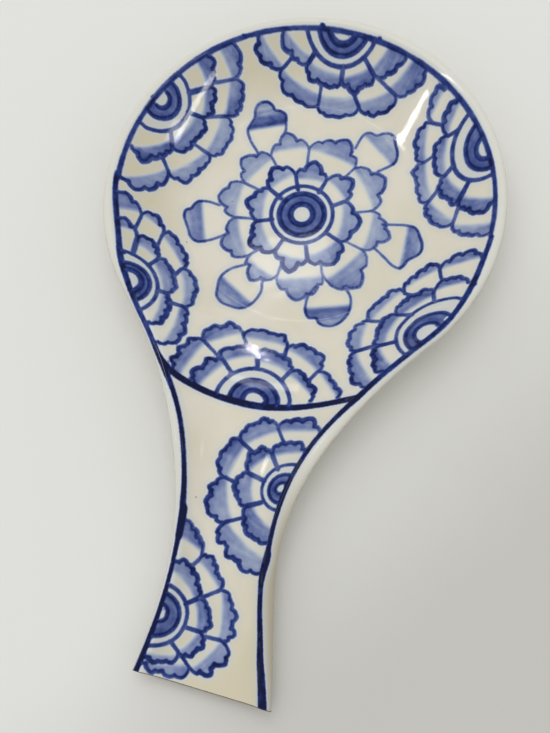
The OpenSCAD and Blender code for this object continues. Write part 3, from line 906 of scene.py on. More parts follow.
    def row(self, at, sector, petals, foot, share, drop, half, side_half, load):
        """One row of petals on a foot line, with so much wash. Their side lines end a drop below the
        lobes. Returns the row's edge, for the next row to stand on."""
        start, end = sector
        whole = end - start == 360
        first, last = petals[0], petals[-1]
        radius, angle = self.around(at, first[1] if whole else start - self.MARGIN)
        nexts = [*petals[1:], (first[0] + 360, first[1] + 360) if whole else (end, end)]
        lows = [min(p[-1][1], q[4][1]) - drop for p, q in zip(petals, petals[1:])]
        if whole:
            closing = min(last[-1][1], first[4][1]) - drop
            lows = [closing, *lows, closing]
        else:
            lows = [first[4][1] - drop / 2, *lows, last[-1][1] - drop / 2]
        all_angles, all_radii = [], []
        for k, (petal, after) in enumerate(zip(petals, nexts)):
            angles, radii = self.scallops(petal, after[1], lows[k], lows[k + 1])
            all_angles.append(angles)
            all_radii.append(radii)
            dense = load * self.random.uniform(*self.LOADED)
            line = polar(at, angles, radii) + self.random.normal(0, self.SHAKE, (len(angles), 2))
            swell = self.SWELL_LEAST + self.SWELL_MORE * np.sin(np.linspace(0, math.pi, len(line)))
            self.stroke(line, half * swell * self.pressure(line), dense)
            if whole or k:
                base = foot(petal[0])
                w = np.linspace(0, 1, self.LEAN_POINTS)
                lean = petal[0] + (petal[1] - petal[0]) * w**self.LEAN
                line = polar(at, lean, base + (lows[k] - base) * w)
                self.stroke(line, side_half * self.pressure(line), dense * self.SIDE_LOAD)
            begin, stop = petal[:2], after[:2]
            if not whole and k == 0:
                begin = (begin[0] - self.MARGIN, begin[1] - self.MARGIN)
            if not whole and after[:2] == (end, end):
                stop = (end + self.MARGIN, end + self.MARGIN)
            bases = foot(petal[0]), foot(after[0])
            edge = np.interp(angle, angles, radii)
            self.fill(radius, angle, petal, (begin, stop), bases, lows[k : k + 2], edge, share)
        all_angles, all_radii = np.concatenate(all_angles), np.concatenate(all_radii)
        period = 360 if whole else None
        return lambda a: float(np.interp(a, all_angles, all_radii, period=period))

    def fill(self, radius, angle, petal, lines, bases, lows, edge, share):
        """The wash of one petal, drawn along under its scalloped edge with a soft lower border."""
        sides = []
        for (foot_at, shoulder_at), base, low in zip(lines, bases, lows):
            up = part_way(radius, base, max(low, base + self.LEAST_SIDE))
            sides.append(foot_at + (shoulder_at - foot_at) * up**self.LEAN)
        first_from, last_from = petal[2:4]
        w = part_way(angle, petal[1], lines[1][1])
        wide = np.radians(lines[1][1] - petal[1])
        chord = first_from * last_from * np.sin(wide)
        chord = chord / (first_from * np.sin(wide * w) + last_from * np.sin(wide * (1 - w)))
        arc = first_from + (last_from - first_from) * w
        limit = self.WASH_ARC * arc + self.WASH_CHORD * chord - self.WASH_OVER
        inside = self.field & (angle > sides[0]) & (angle < sides[1])
        near = np.flatnonzero(inside & (radius < edge) & (radius > limit - self.WASH_START))
        radius, run = radius[near], np.radians(angle[near]) * radius[near]
        up = radius - limit[near]
        soft = self.brush.wash_soft
        streak = self.uneven(radius / self.HAIR + 9 * self.random.random(), run / self.HAIR_RUN)
        pooled = self.POOL * np.exp(-(((up - soft) / self.POOL_WIDTH) ** 2))
        pooled = pooled + self.DEEPER * part_way(up, 0, self.DEEP_AT) - self.PALER
        drawn = 1 + self.random.uniform(-self.ASIDE, self.ASIDE) * (2 * w[near] - 1)
        laid = self.STREAK_LEAST + self.STREAK_MORE * streak + pooled
        amount = share * self.random.uniform(*self.WASHED) * drawn * laid
        self.wash[near] = np.maximum(self.wash[near], amount * eased(part_way(up, -soft / 2, soft)))

    def rosette(self, data, load=0.78, outer_load=0.76, share=0.42, deeper=0, fine=1):
        """A rosette's rings with their washes, and its two rows of petals, the outer on the inner.
        The rows' lines hold the two loads of cobalt and their washes the share. The notches between
        petals can be deeper, and the outer row's lines finer."""
        at, ring_at, sector, rings, inner, outer = data
        at, ring_at = np.array(at), np.array(ring_at)
        brush = self.brush
        margin = 0 if sector[1] - sector[0] == 360 else self.MARGIN

        def ring(numbers, angles):
            middle, first, last, _ = numbers
            w = part_way(angles, *sector)
            end = np.where(w < 0.5, first, last)
            return middle + (end - middle) * np.abs(2 * w - 1) ** self.RING_POWER

        def foot(degrees):
            return float(ring(rings[2], degrees))

        span = np.linspace(sector[0] - margin, sector[1] + margin, self.RING_POINTS)
        for numbers, dense in zip(rings, self.RING_LOADS):
            self.stroke(polar(ring_at, span, ring(numbers, span)), numbers[3], dense)
        radius, angle = self.around(ring_at, sector[0] - margin)
        first, second, third = (ring(numbers, angle) for numbers in rings)
        streak = self.uneven(radius / self.RING_HAIR, np.radians(angle) * radius / self.RING_RUN + 5)
        band = self.field & (radius > first) & (radius < second)
        self.wash[band] = (self.BAND_LEAST + self.BAND_MORE * streak)[band]
        pale = self.field & (radius < first) | self.field & (radius > second) & (radius < third)
        self.wash[pale] = np.maximum(self.wash, self.PALE)[pale]
        edge = self.row(at, sector, inner, foot, share * self.INNER_WASH,
                        brush.inner_notch + deeper / 3, brush.line / 2, brush.side_line / 2, load)
        self.row(at, sector, outer, edge, share, brush.outer_notch + deeper,
                 brush.line * self.OUTER_LINE * fine, brush.side_line * self.OUTER_SIDE * fine, outer_load)

    def single_petal(self, data):
        """A petal between the rosettes, drawn by its outline and washed from one side."""
        outline, start, end, washed, share = data
        line = rounded(outline, 3)
        self.stroke(line, self.brush.side_line * self.THIN_LINE, self.THIN_LOAD)
        start, end, washed = np.array(start), np.array(end), np.array(washed)
        along = (end - start) / np.linalg.norm(end - start)
        across = np.array([-along[1], along[0]])
        if (washed - start) @ across < 0:
            across = -across
        near = np.flatnonzero(encloses(line, self.xy))
        up = (self.xy[near] - start) @ across
        run = (self.xy[near] - start) @ along
        streak = self.uneven(up / self.SINGLE_HAIR + 20, run / self.SINGLE_RUN + 3)
        pooled = self.SINGLE_POOL * np.exp(-(((up - self.SINGLE_POOL_AT) / self.SINGLE_POOL_WIDTH) ** 2))
        faded = self.SINGLE_FADE * part_way(up, self.SINGLE_POOL_AT, self.SINGLE_FADE_AT)
        amount = share * (self.SINGLE_LEAST + self.SINGLE_MORE * streak + pooled - faded)
        amount = amount * eased(part_way(up, self.SINGLE_START, self.brush.wash_soft))
        self.wash[near] = np.maximum(self.wash[near], amount)
        far = line[((line - start) @ across) > 0]
        self.stroke(far, self.brush.line / 2 * self.FAR_LINE * self.pressure(far), self.FAR_LOAD)

    def fields(self):
        """The borders, the dish's field inside its own, and the handle's between its two."""
        left, right, cross = (rounded(line) for line in (LEFT_BORDER, RIGHT_BORDER, CROSS_LINE))
        a = np.radians(np.arange(*self.BORDER_ANGLES))
        r = self.BORDER_RADIUS + self.BORDER_WAVER * np.sin(3 * a + 1) - self.BORDER_WAVER * np.cos(a - 1.05)
        circle = np.stack([r * np.cos(a), r * np.sin(a)], 1)
        parted = []
        for line, mouth in ((left, self.LEFT_MOUTH), (right, self.RIGHT_MOUTH)):
            parted.append((line[line[:, 1] > mouth, :2], line[line[:, 1] < mouth, :2]))
        (left_dish, left_handle), (right_dish, right_handle) = parted
        dish = np.concatenate([circle, left_dish, cross[:, :2], right_dish[::-1]])
        handle = np.concatenate([cross[:, :2], right_handle, left_handle[::-1]])
        return circle, (left, right, cross), dish, handle

    def everything(self):
        """Borders and beads first, then the petals and rosettes inside the two fields."""
        circle, borders, dish, handle = self.fields()
        self.stroke(circle, self.brush.border / 2 * self.pressure(circle), self.BORDER_LOAD)
        for line in borders:
            turn = int(np.argmax(line[:, 1] < -self.HANDLE_FROM))
            self.stroke(line[: turn + 1, :2], line[: turn + 1, 2], self.LINE_LOAD)
            self.stroke(line[turn:, :2], line[turn:, 2], self.HANDLE_LOAD)
        for x, y, size in BEADS:
            self.stroke(((x, y), (x + self.BEAD_RUN, y)), size * self.BEAD_WIDTH, self.BEAD_LOAD)
        self.field = encloses(dish, self.xy)
        for petal in SINGLE_PETALS:
            self.single_petal(petal)
        self.rosette(CENTRE_ROSETTE, load=0.77, outer_load=0.63, share=0.31, deeper=1.6, fine=0.75)
        for data in BORDER_ROSETTES:
            self.rosette(data)
        self.field = encloses(handle, self.xy)
        for data in HANDLE_ROSETTES:
            self.rosette(data)


# Nodes and materials

MATH = "ShaderNodeMath"
NOISE = "ShaderNodeTexNoise"
RANGE = "ShaderNodeMapRange"
MIX = "ShaderNodeMix"
BUMP = "ShaderNodeBump"
PRINCIPLED = "ShaderNodeBsdfPrincipled"
PLUS = {"operation": "ADD"}
MINUS = {"operation": "SUBTRACT"}
TIMES = {"operation": "MULTIPLY"}
TIMES_PLUS = {"operation": "MULTIPLY_ADD"}
OVER = {"operation": "GREATER_THAN"}
UNDER = {"operation": "LESS_THAN"}
DOT = {"operation": "DOT_PRODUCT"}
EASED = {"interpolation_type": "SMOOTHSTEP"}
OF_COLOURS = {"data_type": "RGBA"}


def add(tree, kind, settings=None, inputs=None):
    """Adds a node with its settings, and its inputs as values or as the sockets that feed them.

    Inputs go by name or number. A range takes the value at 0 from between those at 1 and 2 to
    between those at 3 and 4. A mix of colours has its share at 0 and the colours at 6 and 7."""
    node = tree.nodes.new(kind)
    for name, value in (settings or {}).items():
        setattr(node, name, value)
    for key, value in (inputs or {}).items():
        if isinstance(value, bpy.types.NodeSocket):
            tree.links.new(value, node.inputs[key])
        else:
            node.inputs[key].default_value = value
    return node


def new_material(name):
    material = bpy.data.materials.new(name)
    material.use_nodes = True
    material.node_tree.nodes.clear()
    return material, material.node_tree


def cobalt_on_clay(tree, edge, load, wash, pools, bristles):
    """How much cobalt lies at each point, as a socket. A line's edge is rough by 0.15 mm and soft
    over 0.7 mm, a wash lies only where no line does, and a little bleeds out round each line."""
    shaky = add(tree, MATH, TIMES_PLUS, {0: bristles, 1: 0.3, 2: -0.15}).outputs[0]
    rough_edge = add(tree, MATH, PLUS, {0: edge, 1: shaky}).outputs[0]
    line = add(tree, RANGE, EASED, {0: rough_edge, 1: 0.41, 2: -0.28, 3: 0.0, 4: 1.0}).outputs[0]
    uneven = add(tree, RANGE, {}, {0: pools, 1: 0.3, 2: 0.7, 3: 0.82, 4: 1.12}).outputs[0]
    brushed = add(tree, MATH, TIMES, {0: line, 1: load}).outputs[0]
    ink = add(tree, MATH, TIMES, {0: brushed, 1: uneven}).outputs[0]
    washed = add(tree, MATH, TIMES, {0: wash, 1: uneven}).outputs[0]
    no_line = add(tree, MATH, TIMES_PLUS, {0: ink, 1: -1.0, 2: 1.0}).outputs[0]
    both = add(tree, MATH, TIMES_PLUS, {0: washed, 1: no_line, 2: ink}).outputs[0]
    bleed = add(tree, RANGE, EASED, {0: edge, 1: 2.6, 2: 0.2, 3: 0.0, 4: 0.05}).outputs[0]
    return add(tree, MATH, PLUS, {0: both, 1: bleed}).outputs[0]


def cobalt_colour(tree, colours, cobalt):
    """The blue of so much cobalt, from the thinnest wash to a line gone over twice, as a socket."""
    ramp = add(tree, "ShaderNodeValToRGB", {}, {0: cobalt})
    stops = (
        (0.1, colours.wash_thin), (0.3, colours.wash), (0.5, colours.wash_full),
        (0.63, colours.line_thin), (0.76, colours.line), (0.9, colours.line_full),
        (1.0, colours.line_heavy),
    )
    while len(ramp.color_ramp.elements) < len(stops):
        ramp.color_ramp.elements.new(0.5)
    for element, (at, shade) in zip(ramp.color_ramp.elements, stops):
        element.position, element.color = at, shade
    return ramp.outputs[0]


def glazed_stoneware(colours):
    """Stoneware painted in cobalt and dipped in a glossy cream glaze. The glass makes it smooth and
    bright with soft waves, and the cobalt bleeds a little into it: lines have dark middles and blue
    edges, and washes pool at their borders. The glaze is whiter where it runs thin over the lip,
    yellower where it lies thicker, and breaks to brown clay along the cut. A few iron specks show.
    Painted shade darkens the lip's outer roll round the rim, the handle's right lip towards the cut
    end, and, with the yellower glaze, the dish's far left wall and the handle towards its end."""
    material, tree = new_material("glazed_stoneware_over_cobalt")
    place = add(tree, "ShaderNodeTexCoord").outputs["Object"]
    edge, load, wash, thick_and_shade, lip, rim, right_lip_shade, cut = (
        add(tree, "ShaderNodeAttribute", {"attribute_name": name}).outputs["Fac"]
        for name in ("line_edge", "line_load", "wash", "thick_glaze_and_shade", "lip", "rim", "right_lip_shade", "cut_gap"))

    # Clouds of thicker glaze, small pools, hairs of the brush and slow waves, by width in mm.
    clouds, pools, bristles, waves = (
        add(tree, NOISE, {}, {"Vector": place, "Scale": 1 / (width * MM), "Detail": detail}).outputs[0]
        for width, detail in ((22, 3.0), (3.5, 3.0), (0.9, 2.0), (11, 1.0)))

    # Where the glaze is thicker or thin over the lip, where painted shade darkens the rim's outer roll, the
    # right lip and the thicker glaze, and where the cobalt lies.
    # Yellower where the glaze lies thicker, and darker as painted shade on the far left wall and towards the
    # handle's end.
    thickness_and_shade = add(tree, MATH, TIMES_PLUS, {0: clouds, 1: 1.4, 2: thick_and_shade}).outputs[0]
    warm_and_shade = add(tree, RANGE, {}, {0: thickness_and_shade, 1: 0.5, 2: 1.6}).outputs[0]
    thin = add(tree, MATH, TIMES, {0: lip, 1: 0.9}).outputs[0]
    lip_glaze = add(tree, MIX, OF_COLOURS, {
        0: right_lip_shade, 6: list(colours.glaze_lip), 7: list(colours.glaze_lip_shade)}).outputs[2]
    # Painted shade where the lip rolls over round the outer rim, broken into patches.
    patchy = add(tree, RANGE, {}, {0: pools, 1: 0.35, 2: 0.6, 3: 0.4, 4: 0.75}).outputs[0]
    rim_shade = add(tree, MATH, TIMES, {0: rim, 1: patchy}).outputs[0]
    cobalt = cobalt_on_clay(tree, edge, load, wash, pools, bristles)
    painted = add(tree, RANGE, {}, {0: cobalt, 1: 0.0, 2: 0.12}).outputs[0]

    # Specks under a millimetre wide, in a few of the cells of 9 mm, and the clay bare at the cut.
    cells = add(tree, "ShaderNodeTexVoronoi", {}, {"Vector": place, "Scale": 1 / (9 * MM)}).outputs
    rare = add(tree, MATH, OVER, {0: cells["Color"], 1: 0.66}).outputs[0]
    dot = add(tree, RANGE, {}, {0: cells["Distance"], 1: 0.05, 2: 0.02, 3: 0.0, 4: 0.6}).outputs[0]
    speck = add(tree, MATH, TIMES, {0: rare, 1: dot}).outputs[0]
    bare = add(tree, MATH, TIMES_PLUS, {0: bristles, 1: 0.3, 2: cut}).outputs[0]
    broken = add(tree, RANGE, {}, {0: bare, 1: 0.5, 2: 0.3, 3: 0.0, 4: 0.9}).outputs[0]

    colour = list(colours.glaze)
    for share, shade in (
            (warm_and_shade, list(colours.glaze_warm_and_shade)), (thin, lip_glaze), (rim_shade, list(colours.glaze_rim_shade)),
            (painted, cobalt_colour(tree, colours, cobalt)), (speck, list(colours.speck)),
            (broken, list(colours.broken))):
        colour = add(tree, MIX, OF_COLOURS, {0: share, 6: colour, 7: shade}).outputs[2]

    # Soft waves, ripples and a fine orange peel, one on the other, by height in mm.
    relief = {}
    for height, depth in ((waves, 0.06), (pools, 0.012), (bristles, 0.004)):
        bump = add(tree, BUMP, {}, {"Strength": 1.0, "Distance": depth * MM, "Height": height, **relief})
        relief = {"Normal": bump.outputs[0]}
    gloss = add(tree, RANGE, {}, {0: pools, 1: 0.3, 2: 0.7, 3: 0.03, 4: 0.06}).outputs[0]
    shader = add(tree, PRINCIPLED, {}, {"Base Color": colour, "Roughness": gloss, "IOR": 1.46, **relief})
    add(tree, "ShaderNodeOutputMaterial", {}, {"Surface": shader.outputs["BSDF"]})
    return material


def fired_clay(colours):
    """Coarse stoneware clay, turned and left bare. It is dull and brown from the fire, with grog
    that shows as pale grains and a rough skin, and with paler flashes from the kiln's flame."""
    material, tree = new_material("bare_fired_stoneware")
    place = add(tree, "ShaderNodeTexCoord").outputs["Object"]
    grog, flashing = (
        add(tree, NOISE, {}, {"Vector": place, "Scale": 1 / (width * MM), "Detail": detail}).outputs[0]
        for width, detail in ((0.7, 4.0), (9, 3.0)))
    mottled = add(tree, MATH, TIMES_PLUS, {0: grog, 1: 0.6, 2: -0.1}).outputs[0]
    share = add(tree, MATH, {**TIMES_PLUS, "use_clamp": True}, {0: flashing, 1: 0.6, 2: mottled}).outputs[0]
    colour = add(tree, MIX, OF_COLOURS, {
        0: share, 6: list(colours.clay), 7: list(colours.clay_pale)}).outputs[2]
    rough = add(tree, RANGE, {}, {0: grog, 1: 0.3, 2: 0.7, 3: 0.7, 4: 0.92}).outputs[0]
    bump = add(tree, BUMP, {}, {"Strength": 0.8, "Distance": 0.12 * MM, "Height": grog}).outputs[0]
    shader = add(tree, PRINCIPLED, {}, {
        "Base Color": colour, "Roughness": rough, "IOR": 1.5, "Normal": bump})
    add(tree, "ShaderNodeOutputMaterial", {}, {"Surface": shader.outputs["BSDF"]})
    return material


def studio_paper(colours):
    """Matte paper sweep, pale and dull, which keeps the piece's soft shadow. Towards its near right
    corner the paper is greyer: painted shade, where the room's light falls off."""
    material, tree = new_material("studio_paper")
    place = add(tree, "ShaderNodeTexCoord").outputs["Object"]
    pulp = add(tree, NOISE, {}, {"Vector": place, "Scale": 1 / (60 * MM), "Detail": 4.0}).outputs[0]

    # Painted shade starts 60 mm from the middle of the dish towards the near right, and is full at 150 mm.
    near_right = add(tree, "ShaderNodeVectorMath", DOT, {0: place, 1: (0.8, -0.6, 0)}).outputs["Value"]
    cloudy = add(tree, MATH, TIMES_PLUS, {0: pulp, 1: 14 * MM, 2: near_right}).outputs[0]
    shade = add(tree, RANGE, EASED, {0: cloudy, 1: 60 * MM, 2: 150 * MM}).outputs[0]
    colour = add(tree, MIX, OF_COLOURS, {
        0: shade, 6: list(colours.floor), 7: list(colours.floor_painted_shade)}).outputs[2]
    shader = add(tree, PRINCIPLED, {}, {"Base Color": colour, "Roughness": 0.9, "IOR": 1.4})
    add(tree, "ShaderNodeOutputMaterial", {}, {"Surface": shader.outputs["BSDF"]})
    return material


# Geometry nodes of the foot ring


def foot_tree():
    """A node tree that sweeps the foot's cut, with its two rubbed edges, round the foot's circle."""
    tree = bpy.data.node_groups.new("foot_ring_sweep", "GeometryNodeTree")
    tree.interface.new_socket("Geometry", in_out="OUTPUT", socket_type="NodeSocketGeometry")
    for name in ("Outer radius", "Width", "Height", "Edge radius"):
        tree.interface.new_socket(name, in_out="INPUT", socket_type="NodeSocketFloat")
    for name in ("Steps", "Edge steps"):
        tree.interface.new_socket(name, in_out="INPUT", socket_type="NodeSocketInt")
    tree.interface.new_socket("Material", in_out="INPUT", socket_type="NodeSocketMaterial")
    given = add(tree, "NodeGroupInput").outputs
    half = add(tree, MATH, TIMES, {0: given["Width"], 1: 0.5}).outputs[0]
    radius = add(tree, MATH, MINUS, {0: given["Outer radius"], 1: half}).outputs[0]
    circle = add(tree, "GeometryNodeCurvePrimitiveCircle", {}, {
        "Resolution": given["Steps"], "Radius": radius}).outputs[0]
    cut = add(tree, "GeometryNodeCurvePrimitiveQuadrilateral", {}, {
        "Width": given["Width"], "Height": given["Height"]}).outputs[0]
    place = add(tree, "GeometryNodeInputPosition").outputs[0]
    across = add(tree, "ShaderNodeSeparateXYZ", {}, {0: place}).outputs
    low = add(tree, MATH, UNDER, {0: across["Y"], 1: 0.0}).outputs[0]
    rubbed = add(tree, MATH, TIMES, {0: low, 1: given["Edge radius"]}).outputs[0]
    round_cut = add(tree, "GeometryNodeFilletCurve", {"mode": "POLY"}, {
        "Curve": cut, "Count": given["Edge steps"], "Radius": rubbed}).outputs[0]
    swept = add(tree, "GeometryNodeCurveToMesh", {}, {
        "Curve": circle, "Profile Curve": round_cut}).outputs[0]
    lift = add(tree, MATH, TIMES, {0: given["Height"], 1: 0.5}).outputs[0]
    up = add(tree, "ShaderNodeCombineXYZ", {}, {"Z": lift}).outputs[0]
    raised = add(tree, "GeometryNodeTransform", {}, {"Geometry": swept, "Translation": up}).outputs[0]
    real = add(tree, "GeometryNodeRealizeInstances", {}, {0: raised}).outputs[0]
    coated = add(tree, "GeometryNodeSetMaterial", {}, {
        "Geometry": real, "Material": given["Material"]}).outputs[0]
    add(tree, "NodeGroupOutput", {}, {0: coated})
    return tree


def grown(name, tree, values):
    """The mesh that a node tree makes with these named inputs, as a plain mesh."""
    holder = bpy.data.objects.new(name, bpy.data.meshes.new(name))
    bpy.context.scene.collection.objects.link(holder)
    modifier = holder.modifiers.new(name, "NODES")
    modifier.node_group = tree
    for item in tree.interface.items_tree:
        if item.item_type == "SOCKET" and item.in_out == "INPUT":
            modifier[item.identifier] = values[item.name]
    evaluated = holder.evaluated_get(bpy.context.evaluated_depsgraph_get())
    mesh = bpy.data.meshes.new_from_object(evaluated)
    holder.modifiers.remove(modifier)
    bpy.data.objects.remove(holder)
    return mesh


# Operators


class SPOONREST_OT_stage(bpy.types.Operator):
    """Lay the studio floor and place the camera and the lights"""

    bl_idname = "spoon_rest.stage"
    bl_label = "Studio stage"

    FLOOR_REACH = 20.0
    NEAREST = 0.01

    # Where the window is, and the world's strength away from it, towards it, as the glaze mirrors it
    # and as the camera sees it.
    WINDOW_SIDE = (-0.7, 0.7, 0)
    ROOM_DIM = 0.73
    ROOM_BRIGHT = 0.82
    MIRRORED = 0.2
    BACKDROP = 0.75

    # Lamps: name, place, sides, power, and whether the glaze mirrors them.
    LAMPS = (
        ("softbox", (-0.07, 0.12, 1.15), (0.8, 0.8), 3.2, False),
        ("window", (-0.5, 0.4, 0.8), (0.35, 0.35), 0.35, False),
        ("ceiling_panel", (-0.232, 0.576, 1.6), (0.16, 0.1), 0.16, True),
    )

    # Lamps that only show where the glaze mirrors them, with the half angle of their beam: name, start
    # and end as shares of the height, height, radiance, width, the place that they are aimed at, and
    # the number of pieces.
    BEAM = math.radians(10)
    TUBES = (
        ("ceiling_tube", (-0.27, 0.24), (-1.14, -0.62), 0.5, 26, 0.018, (0.034, 0.04, 0.014), 6),
        ("second_tube", (0.82, -0.5), (0.86, 0.2), 0.5, 10, 0.03, (-0.05, 0.035, 0.016), 6),
        ("short_tube", (-0.155, 0.63), (-0.15, 0.8), 1.6, 150, 0.005, (-0.006, -0.056, 0.012), 1),
        ("side_panel", (0.84, 0.12), (1.06, 0.13), 0.5, 6, 0.1, (-0.052, 0.02, 0.016), 1),
        ("trough_panel", (-0.2, -0.16), (-0.47, -0.13), 0.5, 9, 0.035, (0.006, -0.094, 0.012), 1),
    )

    def execute(self, context):
        scene = context.scene
        self.lay_floor(scene)
        self.place_camera(scene, scene.spoon_rest_stage)
        scene.world = self.room()
        for name, at, size, power, mirrored in self.LAMPS:
            self.lamp(scene, name, at, size, power).visible_glossy = mirrored
        for tube in self.TUBES:
            self.tube(scene, *tube)
        scene.view_settings.view_transform = "Standard"
        return {"FINISHED"}

    def lay_floor(self, scene):
        """A sheet of paper on the table, so wide that it has no edge in any view."""
        mesh = bpy.data.meshes.new("studio_floor")
        reach = self.FLOOR_REACH
        corners = ((-reach, -reach), (reach, -reach), (reach, reach), (-reach, reach))
        mesh.from_pydata([(x, y, 0) for x, y in corners], [], [(0, 1, 2, 3)])
        mesh.materials.append(studio_paper(scene.spoon_rest_colours))
        floor = bpy.data.objects.new("studio_floor", mesh)
        scene.collection.objects.link(floor)
        floor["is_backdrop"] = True

    def place_camera(self, scene, stage):
        """The camera at the photograph's place, tilt and angle of view."""
        data = bpy.data.cameras.new("camera")
        data.sensor_fit = "HORIZONTAL"
        data.lens = data.sensor_width * stage.focal_pixels / IMAGE_WIDTH
        data.clip_start = self.NEAREST
        camera = bpy.data.objects.new("camera", data)
        turn = (Matrix.Rotation(-stage.roll, 3, "Z") @ Matrix.Rotation(stage.tilt_sideways, 3, "Y")
                @ Matrix.Rotation(stage.tilt_forward, 3, "X"))
        camera.matrix_world = Matrix.Translation(stage.camera_at) @ turn.to_4x4()
        scene.collection.objects.link(camera)
        scene.camera = camera

    def room(self):
        """A pale room as the world, brighter on the window's side. The glaze mirrors it dimly, as a
        dark ceiling would show, and the camera sees it as a pale backdrop."""
        world = bpy.data.worlds.new("studio")
        world.use_nodes = True
        tree = world.node_tree
        tree.nodes.clear()
        towards = add(tree, "ShaderNodeTexCoord").outputs["Generated"]
        side = add(tree, "ShaderNodeVectorMath", DOT, {0: towards, 1: self.WINDOW_SIDE}).outputs["Value"]
        light = add(tree, RANGE, {}, {
            0: side, 1: -1.0, 2: 1.0, 3: self.ROOM_DIM, 4: self.ROOM_BRIGHT}).outputs[0]
        ray = add(tree, "ShaderNodeLightPath").outputs
        mirrored = add(tree, MIX, {}, {0: ray["Is Glossy Ray"], 2: light, 3: self.MIRRORED}).outputs[0]
        shown = add(tree, MIX, {}, {0: ray["Is Camera Ray"], 2: mirrored, 3: self.BACKDROP}).outputs[0]
        background = add(tree, "ShaderNodeBackground", {}, {"Color": (1, 1, 1, 1), "Strength": shown})
        add(tree, "ShaderNodeOutputWorld", {}, {"Surface": background.outputs[0]})
        return world

    def lamp(self, scene, name, at, size, power):
        """A rectangular lamp at a place, turned to the middle of the piece."""
        data = bpy.data.lights.new(name, "AREA")
        data.shape = "RECTANGLE"
        data.size, data.size_y = size
        data.energy = power
        lamp = bpy.data.objects.new(name, data)
        lamp.location = at
        lamp.rotation_euler = (-Vector(at)).to_track_quat("-Z", "Y").to_euler()
        scene.collection.objects.link(lamp)
        return lamp

    def tube(self, scene, name, start, end, height, radiance, width, aim, pieces):
        """A louvred lamp tube between two places given as shares of its height. It is a row of short
        pieces that send a narrow beam at one place, and it only shows where the glaze mirrors it."""
        start, end = Vector((*start, 1)) * height, Vector((*end, 1)) * height
        for k in range(pieces):
            at = start + (end - start) * (k + 0.5) / pieces
            back = (at - Vector(aim)).normalized()
            run = (end - start) / pieces
            run -= back * run.dot(back)
            beam = math.pi * math.tan(self.BEAM) ** 2 / 3
            power = radiance * run.length * width * beam
            lamp = self.lamp(scene, f"{name}_{k + 1}", at, (run.length, width), power)
            lamp.data.spread = 2 * self.BEAM
            run.normalize()
            lamp.rotation_euler = Matrix((run, back.cross(run), back)).transposed().to_euler()
            lamp.visible_diffuse = False


class SPOONREST_OT_clay(bpy.types.Operator):
    """Give the dish's and the trough's clay its fired, matte finish"""

    bl_idname = "spoon_rest.clay"
    bl_label = "Clay body"

    def execute(self, context):
        clay = fired_clay(context.scene.spoon_rest_colours)
        for name in ("dish_body", "handle_trough"):
            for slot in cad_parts[name].material_slots:
                slot.material = clay
        return {"FINISHED"}


class SPOONREST_OT_foot(bpy.types.Operator):
    """Turn the foot ring with its rubbed edges"""

    bl_idname = "spoon_rest.foot"
    bl_label = "Foot ring"

    ROUND_STEPS = 192
    EDGE_STEPS = 6

    def execute(self, context):
        sizes = context.scene.spoon_rest_sizes
        mesh = grown("foot", foot_tree(), {
            "Outer radius": sizes.foot_outside, "Width": sizes.foot_width, "Height": sizes.foot_height,
            "Edge radius": sizes.foot_round, "Steps": self.ROUND_STEPS, "Edge steps": self.EDGE_STEPS,
            "Material": fired_clay(context.scene.spoon_rest_colours)})
        if not mesh.vertices:
            raise RuntimeError("the foot ring's node tree made nothing")
        foot = finished("foot_turned", mesh)
        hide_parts("foot_ring")
        return {"FINISHED"}


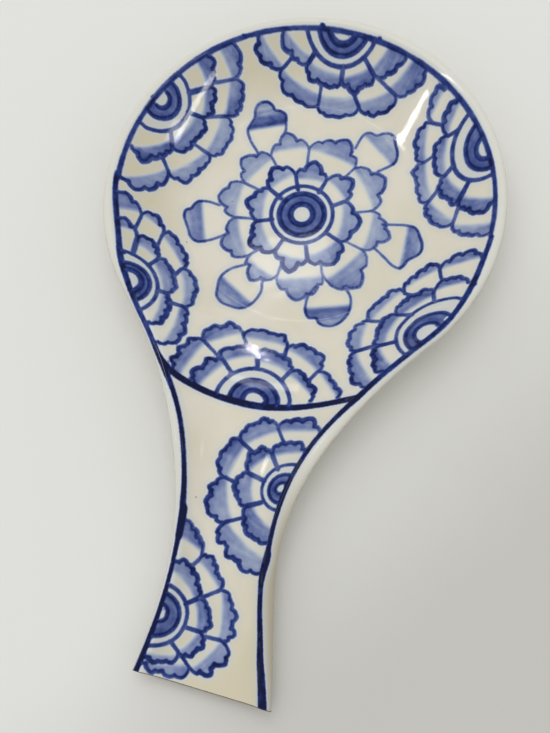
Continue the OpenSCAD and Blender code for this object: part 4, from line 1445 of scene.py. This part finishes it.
class SPOONREST_OT_glaze(bpy.types.Operator):
    """Coat the piece with glaze over its cobalt painting"""

    bl_idname = "spoon_rest.glaze"
    bl_label = "Glaze and painting"

    def execute(self, context):
        scene = context.scene
        form = Form(scene.spoon_rest_sizes)
        mesh, upper, lip, rim = glaze_mesh(form)
        places = np.empty(3 * len(mesh.vertices))
        mesh.vertices.foreach_get("co", places)
        xy = places.reshape(-1, 3)[upper, :2] / MM
        painting = Painting(xy, scene.spoon_rest_brush)
        painting.everything()
        for name, values, elsewhere in (
                ("line_edge", painting.edge, Painting.REACH), ("line_load", painting.load, 0),
                ("wash", painting.wash, 0), ("thick_glaze_and_shade", form.glaze_run_and_shade(xy), 0),
                ("lip", lip[upper], 0), ("rim", rim[upper], 0), ("right_lip_shade", form.right_lip_shade(xy), 0),
                ("cut_gap", form.cut_gap(xy), Painting.REACH)):
            everywhere = np.full(len(upper), float(elsewhere))
            everywhere[upper] = values
            mesh.attributes.new(name, "FLOAT", "POINT").data.foreach_set("value", everywhere)
        glaze = finished("glaze_and_painting", mesh, glazed_stoneware(scene.spoon_rest_colours))
        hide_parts("glaze_coat")
        return {"FINISHED"}


STEPS = (SPOONREST_OT_stage, SPOONREST_OT_clay, SPOONREST_OT_foot, SPOONREST_OT_glaze)


class SPOONREST_PT_panel(bpy.types.Panel):
    """Sizes, colours and making of the spoon rest"""

    bl_idname = "SPOONREST_PT_panel"
    bl_label = "Spoon rest"
    bl_space_type = "VIEW_3D"
    bl_region_type = "UI"
    bl_category = "Spoon rest"

    def draw(self, context):
        for key in GROUPS:
            group = getattr(context.scene, key)
            box = self.layout.box()
            for name in group.__annotations__:
                box.prop(group, name)
        for step in STEPS:
            self.layout.operator(step.bl_idname)


GROUPS = {
    "spoon_rest_sizes": SpoonRestSizes,
    "spoon_rest_brush": SpoonRestBrush,
    "spoon_rest_colours": SpoonRestColours,
    "spoon_rest_stage": SpoonRestStage,
}


def register():
    for cls in (*GROUPS.values(), *STEPS, SPOONREST_PT_panel):
        bpy.utils.register_class(cls)
    for name, group in GROUPS.items():
        setattr(bpy.types.Scene, name, PointerProperty(type=group))


def unregister():
    for name in GROUPS:
        delattr(bpy.types.Scene, name)
    for cls in (SPOONREST_PT_panel, *STEPS, *GROUPS.values()):
        bpy.utils.unregister_class(cls)


def plain(box):
    """A box's two corners as plain lists of numbers."""
    return [[float(x) for x in corner] for corner in box]


def main():
    register()
    for step in STEPS:
        group, name = step.bl_idname.split(".")
        getattr(getattr(bpy.ops, group), name)()
    {"cad": plain(CAD_BOX), "visual": plain(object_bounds())}


if __name__ == "__main__":
    main()
